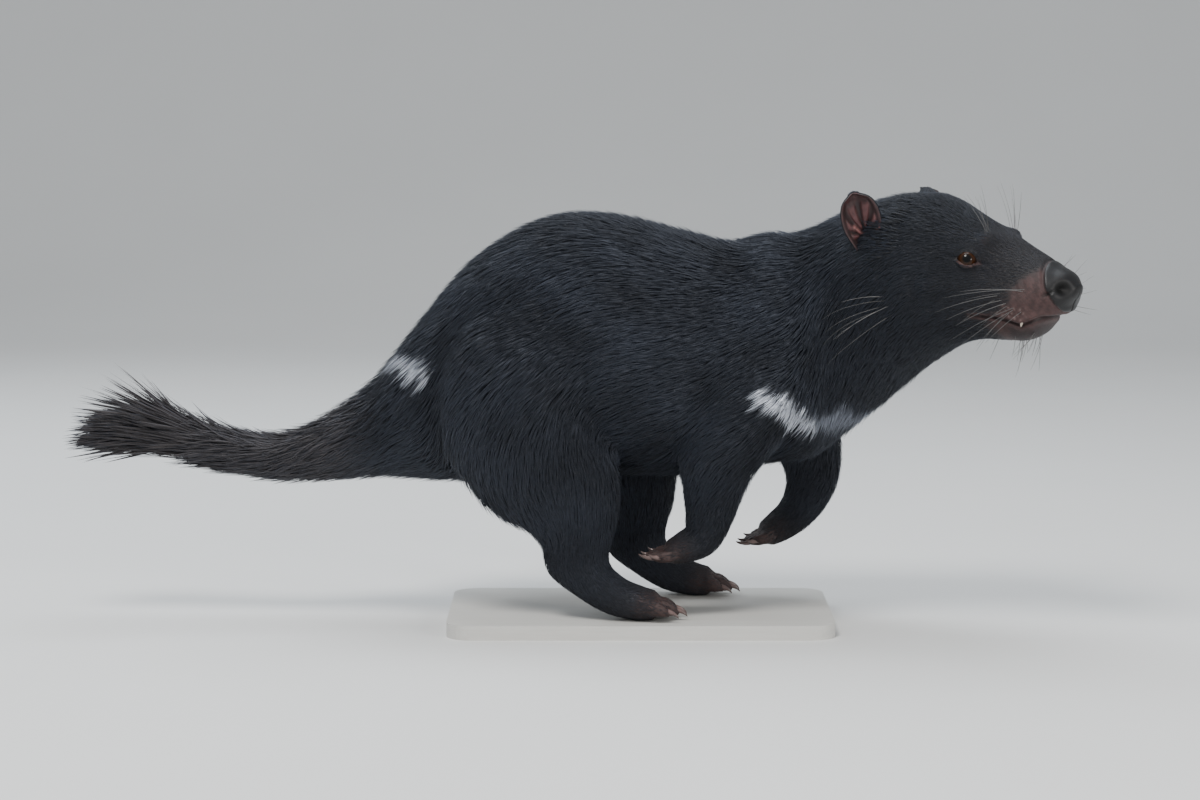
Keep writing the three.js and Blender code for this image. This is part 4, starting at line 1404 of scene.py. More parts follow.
@dataclass(frozen=True)
class Toe:
    """One toe: its root, its way, the way down to its pad, and its sizes."""

    root: np.ndarray
    way: np.ndarray
    down: np.ndarray
    length: float
    thick: float
    claw: float

    def flesh(self) -> Shell:
        """Gives the toe's points and faces: a knuckle, a dip behind the claw and a pad below."""
        k = np.linspace(0, 1, 15)
        arch = -1.4 * np.sin(math.pi * k) + 1.6 * smooth((k - 0.4) / 0.6)
        path = self.root + self.way * (self.length * 1.12 * k)[:, None] + self.down * arch[:, None]
        size = self.thick * (1.0 + 0.06 * bell((k - 0.45) / 0.2) - 0.34 * smooth((k - 0.62) / 0.38))
        size = size * (1 + 0.07 * bell((k - 0.88) / 0.1))
        rings = rod(path, size * 0.80, size * 1.14, np.cross(self.way, self.down), 18)
        return closed_tube(rings, self.thick * 0.3, self.thick * 0.42)

    def blade(self) -> tuple[np.ndarray, list[np.ndarray], np.ndarray]:
        """Builds the claw: a curved blade that tapers to a point and hooks down.

        Returns:
            Its points, its faces and how far out each point lies, from 0 at the root to 1 at the tip.
        """
        end = self.root + self.way * self.length + self.down * 1.6
        k = np.linspace(0, 1, 14)
        run = -2.5 + (self.claw + 1.2) * np.sin(k * 1.25) / math.sin(1.25)
        drop = -0.3 * self.thick + 5.0 * k**2.2
        path = end + self.way * run[:, None] + self.down * drop[:, None]
        wide = 1.75 * (1 - k) ** 0.62 + 0.12
        high = 2.5 * (1 - k) ** 0.7 + 0.14
        rings = rod(path, wide, high, np.cross(self.way, self.down), 12)
        verts, faces = closed_tube(rings, 0.4, 0.15)
        reach = np.clip(((verts - end) @ self.way + 2.5) / (self.claw + 2.5), 0, 1)
        return verts, faces, reach


def foot_toes(leg: Leg, toes: ToeSet) -> list[Toe]:
    """Sets a foot's toes on the end of its leg.

    Args:
        leg: the leg.
        toes: the set's sizes.

    Returns:
        The toes, fanned about the foot's middle line.
    """
    t = np.array(float(len(leg.rows) - 1))
    centre, _, up, side = leg.axes(t)
    before = leg.axes(t - 0.6)[0]
    way = unit(centre - before)
    across = unit(side) * leg.side.value
    top = unit(up)
    sole = -top if (top[2] > 0) == toes.sole_down else top
    made = []
    for i in range(toes.count):
        place = (i - (toes.count - 1) / 2) / ((toes.count - 1) / 2)
        heading = unit(way + across * toes.fan * place + sole * toes.dip)
        down = unit(sole - heading * (sole @ heading))
        root = centre + across * toes.spread * place + way * (-4 - 5 * place * place) - sole * toes.lift
        length = toes.length * (1 - 0.16 * place * place)
        thick = toes.thick * (1 - 0.08 * abs(place))
        made.append(Toe(root, heading, down, length, thick, toes.claw))
    return made


# Skin


class Skin:
    """The one skin: body, legs and toes joined, smoothed at the joins and coloured."""

    NODES = (
        "rump torso shoulders neck tail_base tail_middle tail_tip head lower_jaw nose "
        "thigh_right thigh_left shank_right shank_left hind_foot_right hind_foot_left "
        "upper_arm_right upper_arm_left forearm_right forearm_left forefoot_right forefoot_left"
    ).split()
    COLUMNS = 216  # points round the body
    LEG_GRID = (84, 72)
    SOFTENING = 36  # steps that round the joins

    def __init__(self, spine: Spine, legs: list[Leg], toes: list[Toe]) -> None:
        """Builds the skin.

        Args:
            spine: the body.
            legs: the four legs.
            toes: all the toes.
        """
        parts = [self.body_part(spine)] + [self.leg_part(leg) for leg in legs]
        parts += [toe.flesh() for toe in toes]
        objects = [
            mesh_object(f"skin_part_{i}", verts, outward(verts, faces))
            for i, (verts, faces) in enumerate(parts)
        ]
        self.object = self.join(objects)
        self.points, self.straight = self.soften()
        self.colour([toe.root + toe.way * (0.5 * toe.length) for toe in toes])
        log.info("skin: %d faces", len(self.object.data.polygons))

    @staticmethod
    def body_part(spine: Spine) -> Shell:
        """The body's grid: rings close together over the face and wider apart behind."""
        t = np.concatenate(
            [
                np.linspace(1.35, spine.at("nape"), 150, endpoint=False),
                np.linspace(spine.at("nape"), spine.at("temple"), 44, endpoint=False),
                np.linspace(spine.at("temple"), spine.at("nose_tip"), 150),
            ]
        )
        angle = (np.arange(Skin.COLUMNS) + 0.5) / Skin.COLUMNS * 2 * math.pi
        tt, aa = np.meshgrid(t, angle, indexing="ij")
        p = spine.flat(tt, aa, spine.coat(tt))
        along = np.gradient(p, axis=0)
        around = np.roll(p, -1, axis=1) - np.roll(p, 1, axis=1)
        normal = unit(np.cross(around, along))
        out = np.sum(normal * (p - p.mean(axis=1, keepdims=True)), axis=-1, keepdims=True)
        normal = np.where(out < 0, -normal, normal)
        face = smooth((p[..., 0] - 225) / 25)[..., None]
        p = p + normal * Face.lift(p)[..., None] * face
        p = Face.set_eyes(p)
        return closed_tube(NECK.place(p), 1.5, 2.2)

    @staticmethod
    def leg_part(leg: Leg) -> Shell:
        """A leg's grid, from inside the body to the root of its toes."""
        rows, columns = Skin.LEG_GRID
        t = np.linspace(0, len(leg.rows) - 1, rows)
        angle = (np.arange(columns) + 0.5) / columns * 2 * math.pi
        tt, aa = np.meshgrid(t, angle, indexing="ij")
        return closed_tube(leg.point(tt, aa, leg.coat(tt)), 2, 2.5)

    @staticmethod
    def join(objects: list[bpy.types.Object]) -> bpy.types.Object:
        """Joins closed meshes into one surface.

        Args:
            objects: the body first, then what grows from it.

        Returns:
            The joined object. The parts are removed.
        """
        body, rest = objects[0], objects[1:]
        group = bpy.data.collections.new("skin_parts")
        bpy.context.scene.collection.children.link(group)
        for obj in rest:
            group.objects.link(obj)
        union = body.modifiers.new("union", "BOOLEAN")
        union.operation = "UNION"
        union.operand_type = "COLLECTION"
        union.collection = group
        union.solver = "MANIFOLD"
        graph = bpy.context.evaluated_depsgraph_get()
        mesh = bpy.data.meshes.new_from_object(body.evaluated_get(graph))
        mesh.materials.clear()
        skin = bpy.data.objects.new("skin", mesh)
        bpy.context.scene.collection.objects.link(skin)
        for obj in objects:
            bpy.data.objects.remove(obj, do_unlink=True)
        bpy.data.collections.remove(group)
        return skin

    def soften(self) -> tuple[np.ndarray, np.ndarray]:
        """Rounds the joins: points near a sharp edge move towards the middle of their neighbours.

        Returns:
            The skin's points, and their places in the straight animal.
        """
        mesh = self.object.data
        count = len(mesh.vertices)
        p = read_items(mesh.vertices, "co", 3).astype(float) / MM
        edges = read_items(mesh.edges, "vertices", 2, np.int32)
        normals = read_items(mesh.polygons, "normal", 3)
        loop_edge = read_items(mesh.loops, "edge_index", 1, np.int32)[:, 0]
        totals = read_items(mesh.polygons, "loop_total", 1, np.int32)[:, 0]
        loop_face = np.repeat(np.arange(len(totals)), totals)
        order = np.argsort(loop_edge, kind="stable")
        paired = loop_edge[order]
        twin = np.flatnonzero(paired[:-1] == paired[1:])
        fa, fb = loop_face[order[twin]], loop_face[order[twin + 1]]
        sharp = np.sum(normals[fa] * normals[fb], axis=-1) < 0.9
        touched = edges[paired[twin[sharp]]].reshape(-1)
        straight = NECK.straighten(p)
        touched = np.unique(touched[(straight[touched, 0] < 235) | (p[touched, 2] < 200)])
        touched = touched[straight[touched, 0] < 262]
        tree = KDTree(len(touched))
        for i, index in enumerate(touched):
            tree.insert(p[index], i)
        tree.balance()
        gap = np.array([tree.find(q)[2] for q in p])
        reach = 1.4 + 14.6 * smooth((p[:, 2] - GROUND - 75) / 45)
        weight = 0.6 * bell(gap / reach)
        weight[straight[:, 0] > 262] = 0
        a, b = edges[:, 0], edges[:, 1]
        degree = np.maximum(np.bincount(a, minlength=count) + np.bincount(b, minlength=count), 1)
        for _ in range(self.SOFTENING):
            p = p + weight[:, None] * (neighbour_sum(p, a, b) / degree[:, None] - p)
        mesh.vertices.foreach_set("co", (p * MM).astype(np.float32).reshape(-1))
        mesh.update()
        mesh.polygons.foreach_set("use_smooth", np.ones(len(mesh.polygons), bool))
        return p, straight

    def colour(self, toes: list[np.ndarray]) -> None:
        """Stores the skin's tone and wetness.

        Args:
            toes: the toes' middles.
        """
        gap = np.min([np.linalg.norm(self.points - toe, axis=-1) for toe in toes], axis=0)
        tone, wet = skin_tone(self.straight, smooth((24 - gap) / 12))
        set_colours(self.object, "tone", tone)
        set_values(self.object, "wet", wet)


# Coat


class Hide:
    """The finished skin as arrays, with the coat's lie, depth and length at each point."""

    BODY_GRID, LEG_GRID = (440, 132), (96, 60)
    EASING = 34  # steps that ease the lie over the joins

    def __init__(self, skin: Skin, tubes: list[Tube]) -> None:
        """Reads the skin and lays the coat's lie over it.

        Args:
            skin: the joined skin.
            tubes: the body first, then the legs.
        """
        mesh = skin.object.data
        self.points, self.straight = skin.points, skin.straight
        self.normals = read_items(mesh.vertex_normals, "vector", 3).astype(float)
        mesh.calc_loop_triangles()
        self.corners = read_items(mesh.loop_triangles, "vertices", 3, np.int32)
        self.read(tubes)
        self.settle(mesh)
        self.tree = BVHTree.FromPolygons(self.points.tolist(), self.corners.tolist())
        self.face_normal = unit(self.normals[self.corners].mean(axis=1))
        self.face_flow = unit(self.flow[self.corners].mean(axis=1))
        self.face_depth = self.depth[self.corners].mean(axis=1)

    def read(self, tubes: list[Tube]) -> None:
        """Takes each point's values from the nearest place on the tubes' own skins.

        Args:
            tubes: the body first, then the legs.
        """
        places, values = [], []
        for number, tube in enumerate(tubes):
            last = len(tube.rows) - 1
            rows, columns = self.BODY_GRID if number == 0 else self.LEG_GRID
            t = np.linspace(0.9 if number == 0 else 0.0, last, rows)
            angle = (np.arange(columns) + 0.5) / columns * 2 * math.pi
            tt, aa = np.meshgrid(t, angle, indexing="ij")
            foot = np.zeros(tt.shape) if number == 0 else smooth((tt - last + 3.2) / 3.2)
            home = CHARTS[number].place(tt / last, aa / (2 * math.pi))
            places.append(tube.point(tt, aa, tube.coat(tt)).reshape(-1, 3))
            single = np.stack([tube.coat(tt), tube.hair(tt), foot], axis=-1)
            which = np.stack([np.full(tt.shape, float(number)), tt], axis=-1)
            parts = [tube.lie(tt, aa), single, home, which]
            values.append(np.concatenate(parts, axis=-1).reshape(tt.size, -1))
        place, value = np.concatenate(places), np.concatenate(values)
        tree = KDTree(len(place))
        for i, q in enumerate(place.tolist()):
            tree.insert(q, i)
        tree.balance()
        found = value[[tree.find(q)[1] for q in self.points.tolist()]]
        self.flow, self.depth, self.hair = found[:, :3], found[:, 3], found[:, 4]
        self.foot, self.home = found[:, 5], found[:, 6:8]
        self.tube, self.t = found[:, 8].astype(int), found[:, 9]

    def settle(self, mesh: bpy.types.Mesh) -> None:
        """Eases the values over the joins and keeps the lie in the skin.

        Args:
            mesh: the skin's mesh, for its edges.
        """
        a, b = read_items(mesh.edges, "vertices", 2, np.int32).T
        count = len(self.points)
        degree = np.bincount(a, minlength=count) + np.bincount(b, minlength=count)
        field = np.column_stack([self.flow, self.depth, self.hair])
        for _ in range(self.EASING):
            total = neighbour_sum(field, a, b)
            field = 0.3 * field + 0.7 * total / np.maximum(degree, 1)[:, None]
        flow = field[:, :3]
        flow = flow - self.normals * np.sum(flow * self.normals, axis=-1, keepdims=True)
        self.flow, self.depth, self.hair = unit(flow), field[:, 3], field[:, 4]

    def bare(self) -> np.ndarray:
        """Gives each point's share of bare skin."""
        ahead = smooth((self.straight[:, 0] - 285) / 10)
        face = Face.bareness(self.straight) * ahead * (self.tube == 0)
        toe = smooth((self.foot - 0.9) / 0.1)
        pad = np.maximum(toe * smooth((-self.normals[:, 2] - 0.3) / 0.4), 0.8 * toe)
        end = (self.straight[:, 0] < -436) * smooth((-self.normals[:, 0] - 0.3) / 0.2)
        return np.clip(np.maximum.reduce([face * 1.12, pad, end]), 0, 1)


@dataclass(frozen=True)
class Region:
    """A stretch of the coat that makes pieces of its own, between two rings of one tube.

    rings is the count of rings in a tuft, and rise is how far its tip stands off the skin, as a share
    of the coat's depth.
    """

    name: str
    tube: int
    start: str
    end: str
    rings: int = 2
    rise: float = 0.88


REGIONS = (
    Region("brush", 0, "tip", "bow", 4, 1.0),
    Region("tail", 0, "bow", "tail_root", 3, 0.95),
    Region("rump", 0, "tail_root", "hip"),
    Region("loin", 0, "hip", "ribs"),
    Region("flank", 0, "ribs", "withers"),
    Region("shoulder", 0, "withers", "throat"),
    Region("neck", 0, "throat", "jowl"),
    Region("head", 0, "jowl", "stop"),
    Region("muzzle", 0, "stop", "nose_tip"),
    Region("hind_leg_right", 1, "hip", "toes"),
    Region("hind_leg_left", 2, "hip", "toes"),
    Region("foreleg_right", 3, "blade", "toes"),
    Region("foreleg_left", 4, "blade", "toes"),
)


@dataclass(frozen=True)
class Chart:
    """A rectangle of the bake map that one tube's skin unrolls onto."""

    left: float
    low: float
    right: float
    high: float

    def place(self, along: np.ndarray, around: np.ndarray) -> np.ndarray:
        """Gives map places from shares along and round the tube."""
        u = self.left + (self.right - self.left) * along
        v = self.low + (self.high - self.low) * around
        return np.stack([u, v], axis=-1)


CHARTS = (
    Chart(0.005, 0.36, 0.995, 0.995),
    Chart(0.005, 0.01, 0.205, 0.35),
    Chart(0.215, 0.01, 0.415, 0.35),
    Chart(0.425, 0.01, 0.625, 0.35),
    Chart(0.635, 0.01, 0.835, 0.35),
)


@dataclass(frozen=True)
class Tuft:
    """How a tuft's sizes follow from its length, and how the tufts differ from each other."""

    spacing: float = 0.93
    spacing_more: float = 0.041
    width: float = 0.46
    width_more: float = 0.034
    most: int = 188000  # triangles in one piece
    patch: Pair = (0.0026, 0.0028)  # its place on the bake map, across and along


TUFT = Tuft()


def turned(way: np.ndarray, normal: np.ndarray, angle: np.ndarray) -> np.ndarray:
    """Turns ways about normals: the way times the cosine, plus the way across times the sine."""
    across = np.cross(normal, way)
    return way * np.cos(angle)[:, None] + across * np.sin(angle)[:, None]


class Coat:
    """Grows the tufts out of the finished skin."""

    CORNERS = ((-0.5, -0.06), (0.5, -0.06), (0.0, 0.13))

    def __init__(self, hide: Hide, paint: Material) -> None:
        """Spreads the roots over the skin.

        Args:
            hide: the skin with the coat's lie.
            paint: the fur's material.
        """
        self.hide = hide
        self.paint = paint
        self.pieces = 0
        self.triangles = 0
        rng = np.random.default_rng(20)
        corner = hide.points[hide.corners]
        area = 0.5 * np.linalg.norm(
            np.cross(corner[:, 1] - corner[:, 0], corner[:, 2] - corner[:, 0]), axis=-1
        )
        hair = hide.hair[hide.corners].mean(axis=1)
        cover = 1 - hide.bare()[hide.corners].mean(axis=1)
        lid = Face.lid_edge(hide.straight)[hide.corners].mean(axis=1)
        cover = cover * (1 + 1.6 * smooth((10 - lid) / 7))
        spacing = TUFT.spacing + TUFT.spacing_more * hair
        count = np.cumsum(area / spacing**2 * cover) + rng.uniform()
        number = np.diff(np.floor(count).astype(int), prepend=0)
        self.face = np.repeat(np.arange(len(area)), number)
        size = len(self.face)
        a, b = rng.uniform(0, 1, size), rng.uniform(0, 1, size)
        over = a + b > 1
        a, b = np.where(over, 1 - a, a), np.where(over, 1 - b, b)
        self.share = np.stack([1 - a - b, a, b], axis=-1)

    def blend(self, values: np.ndarray, chosen: np.ndarray) -> np.ndarray:
        """Reads a value of the skin's points at the chosen roots, each corner times its share."""
        corner = values[self.hide.corners[self.face[chosen]]]
        share = self.share[chosen]
        return np.sum(corner * (share if corner.ndim == 2 else share[..., None]), axis=1)

    def home(self, chosen: np.ndarray) -> np.ndarray:
        """Gives the roots' places on the bake map."""
        corner = self.hide.home[self.hide.corners[self.face[chosen]]]
        torn = np.abs(corner - corner[:, :1]).max(axis=(1, 2)) > 0.05
        return np.where(torn[:, None], corner[:, 0], self.blend(self.hide.home, chosen))

    def grow(self, region: Region, tube: Tube, seed: int) -> None:
        """Grows one region and adds its pieces.

        Args:
            region: the stretch of skin.
            tube: the tube that it lies on.
            seed: the generator's seed.
        """
        rng = np.random.default_rng(seed)
        hide = self.hide
        first = hide.corners[self.face, 0]
        t = hide.t[first]
        last = tube.at(region.end) + (1 if region.end in ("nose_tip", "toes") else 0)
        inside = (hide.tube[first] == region.tube) & (t >= tube.at(region.start)) & (t < last)
        chosen = np.flatnonzero(inside)
        root = self.blend(hide.points, chosen)
        straight = self.blend(hide.straight, chosen)
        normal = unit(self.blend(hide.normals, chosen))
        flow = self.blend(hide.flow, chosen)
        flow = unit(flow - normal * np.sum(flow * normal, axis=-1, keepdims=True))
        ending = smooth((-385 - straight[:, :1]) / 50) * 0.8
        flow = unit(flow * (1 - ending) + np.array([-1.0, 0.0, -0.02]) * ending)
        hair, depth = self.blend(hide.hair, chosen), self.blend(hide.depth, chosen)
        count = len(chosen)

        shag = self.shag(straight, root, normal)
        wild = shag * (rng.uniform(0, 1, count) < 0.45)
        length = hair * rng.uniform(0.78, 1.2, count)
        length *= 1 + 0.1 * ripple(root, 15, seed)
        length *= 1 + 0.3 * wild
        lid = smooth((9 - Face.lid_edge(straight)) / 8)
        length *= 1 - 0.5 * lid
        reach = straight[:, 0] + 484 - 0.35 * np.abs(root[:, 2] - 152) + rng.uniform(-18, 5, count)
        length = np.minimum(length, np.maximum(reach, 8))
        stray = 0.1 * ripple(root, 42, 61) + 0.05 * ripple(root, 11, 62) + rng.normal(0, 0.06, count)
        stray += wild * rng.normal(0, 0.1, count)
        uneven = 0.14 * rng.normal(size=count).clip(-2, 2)
        rise = region.rise * (1 + uneven + 0.1 * ripple(root, 20, 63))
        rise += wild * rng.uniform(0.1, 0.75, count) * (1 - 0.8 * ending[:, 0])
        rise *= 1 - 0.45 * lid
        brush = smooth((-335 - straight[:, 0]) / 40) * smooth(normal[:, 2] * 1.6)
        rise += brush * rng.uniform(-0.3, 1.0, count)
        rise *= 1 - 0.5 * smooth((-410 - straight[:, 0]) / 30) * smooth(-normal[:, 2] * 2 + 0.5)

        loose = straight[:, 0] < -350
        way, at, out = turned(flow, normal, stray), root, normal
        path = [root - normal * 0.5]
        for k in range(1, region.rings + 1):
            goal = at + way * (length / region.rings)[:, None]
            hits = [hide.tree.find_nearest(q) for q in goal.tolist()]
            near = np.array([hit[0][:] for hit in hits])
            face = np.array([hit[2] for hit in hits])
            off = np.linalg.norm(near - goal, axis=-1)
            free = (off > 0.55 * length / region.rings) | loose
            at = np.where(free[:, None], goal, near)
            out = np.where(free[:, None], out, hide.face_normal[face])
            depth = np.where(free, depth, 0.5 * depth + 0.5 * hide.face_depth[face])
            path.append(at + out * (depth * rise * (k / region.rings) ** 0.9)[:, None])
            ahead = turned(hide.face_flow[face], out, stray)
            way = np.where(free[:, None], way, 0.5 * way + 0.5 * ahead)
            way = unit(way - out * np.sum(way * out, axis=-1, keepdims=True))
        half = (region.rings + 1) // 2
        shown = NECK.straighten(0.5 * (path[half] + path[-1]))
        tone = coat_tone(shown, self.blend(hide.foot, chosen))
        tone *= (1 + 0.13 * rng.normal(size=count).clip(-2, 2) + 0.1 * ripple(root, 7, 64))[:, None]
        tone = tone.clip(0.001, 1)
        width = (TUFT.width + TUFT.width_more * hair) * rng.uniform(0.75, 1.3, count)
        width *= 1 - 0.4 * lid
        self.write(region.name, np.array(path), normal, width, tone, self.home(chosen), rng)

    @staticmethod
    def shag(straight: np.ndarray, root: np.ndarray, normal: np.ndarray) -> np.ndarray:
        """Says where the coat is loose enough to break its outline.

        Args:
            straight: the roots in the straight animal.
            root: the roots as they stand.
            normal: the skin's normals there.

        Returns:
            0 where it lies flat to 1 where it stands off: the tail, the croup, the backs of the
            thighs, the undersides, and the crown behind the ears.
        """
        x, z = straight[:, 0], root[:, 2]
        up, back = normal[:, 2], -normal[:, 0]
        tail = smooth((-215 - x) / 50) * (0.55 + 0.45 * smooth(up * 2))
        croup = 0.6 * bell((x + 205) / 45) * smooth((up + 0.1) * 2)
        breech = smooth((back - 0.3) / 0.4) * smooth((z - 70) / 40) * smooth((230 - z) / 60) * (x < 0)
        under = 0.45 * smooth((-up - 0.3) / 0.4) * smooth((z - 95) / 30) * smooth((260 - x) / 30)
        crown = 0.9 * bell((x - 236) / 16) * smooth((up - 0.2) / 0.3) * smooth((z - 300) / 20)
        nape = 0.35 * bell((x - 70) / 30) * smooth((up - 0.5) / 0.3)
        return np.clip(tail + croup + breech + under + crown + nape, 0, 1)

    def write(
        self,
        name: str,
        path: np.ndarray,
        normal: np.ndarray,
        width: np.ndarray,
        tone: np.ndarray,
        home: np.ndarray,
        rng: np.random.Generator,
    ) -> None:
        """Writes tufts as closed three-cornered spikes.

        Args:
            name: the pieces' first name.
            path: the tufts' middle lines, ring by ring, the tip last.
            normal: the skin's normal at each root.
            width: each tuft's width at its widest.
            tone: each tuft's colour.
            home: each root's place on the bake map.
            rng: the seeded generator.
        """
        rings, count = len(path) - 1, path.shape[1]
        points = rings * 3 + 1
        each = (rings - 1) * 6 + 4
        parts = max(1, math.ceil(count * each / TUFT.most))
        along = np.arange(rings) / rings
        shape = np.interp(along, [0, 0.4, 1], [0.75, 1.0, 0.12])
        # darker at the root and lighter at the tip: painted shade at the roots under the coat and
        # painted light on the tips
        shade = np.append(np.repeat(np.interp(along, [0, 0.6], [0.72, 1.0]), 3), 1.12)
        roll = rng.normal(0, 0.25, count)
        wide, high = TUFT.patch
        top = (rings - 1) * 3
        quads = ring_faces(rings, 3)
        fans = np.array([(2, 1, 0)] + [(top + c, top + (c + 1) % 3, top + 3) for c in range(3)])
        for part in range(parts):
            chosen = np.arange(part * count // parts, (part + 1) * count // parts)
            p, n, size = path[:, chosen], normal[chosen], len(chosen)
            verts, uv = np.empty((size, points, 3)), np.empty((size, points, 2))
            cos, sin = np.cos(roll[chosen])[:, None], np.sin(roll[chosen])[:, None]
            for k in range(rings):
                way = unit(p[k + 1] - p[max(k - 1, 0)])
                side = unit(np.cross(n, way))
                up = unit(np.cross(way, side))
                side, up = side * cos + up * sin, up * cos - side * sin
                for c, (a, b) in enumerate(self.CORNERS):
                    out = (side * a + up * b) * (shape[k] * width[chosen])[:, None]
                    verts[:, k * 3 + c] = p[k] + out
                    uv[:, k * 3 + c] = home[chosen] + (a * wide, (k / rings - 0.5) * high)
            verts[:, -1] = p[rings]
            uv[:, -1] = home[chosen] + (0.0, 0.5 * high)
            base = np.arange(size)[:, None, None] * points
            faces = [(grid[None] + base).reshape(-1, grid.shape[1]) for grid in (fans, quads)]
            label = f"coat_{name}" + (f"_{part + 1}" if parts > 1 else "")
            obj = mesh_object(label, verts.reshape(-1, 3), faces)
            set_colours(obj, "tone", (tone[chosen][:, None] * shade[None, :, None]).reshape(-1, 3))
            set_uv(obj, uv.reshape(-1, 2))
            obj.data.materials.append(self.paint)
            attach(obj, "root")
            self.pieces += 1
            self.triangles += size * each
            log.info("%s: %d tufts, %d triangles", label, size, size * each)


# Ears


class HeadMap:
    """Finds places on the head's skin from the side view."""

    def __init__(self, spine: Spine) -> None:
        """Samples the straight head's surface."""
        t = np.linspace(spine.at("nape"), spine.at("nose_tip"), 260)
        angle = np.linspace(-math.pi / 2, math.pi / 2, 160)
        tt, aa = np.meshgrid(t, angle, indexing="ij")
        self.points = spine.flat(tt, aa, spine.coat(tt)).reshape(-1, 3)

    def find(self, x: float, z: float, side: Side) -> np.ndarray:
        """Gives the straight head's surface point at a forward position and height, on one side."""
        gap = np.hypot(self.points[:, 0] - x, self.points[:, 2] - z)
        p = self.points[np.argmin(gap)].copy()
        p[1] *= side.value
        return p


HEAD_MAP = HeadMap(Spine())


@dataclass(frozen=True)
class EarSize:
    """An ear: the place of its root in the straight head and its sizes."""

    x: float = 222.0
    y: float = 50.0
    z: float = 315.0
    height: float = 51.0
    half: float = 16.4
    wall: float = 2.2
    depth: float = 11.0
    sunk: float = 14.0
    widest: float = 0.56
    grid: int = 64  # points up and across each face
    hairs: int = 2300
    fringe: int = 420
    locks: int = 330


EAR = EarSize()
EAR_FORK = np.array([(1.5, -6), (1.5, 13), (-3.5, 17), (-6.5, 24)], float)
EAR_BRANCH = np.array([(1.5, 13), (6, 12), (10, 15), (14, 19)], float)


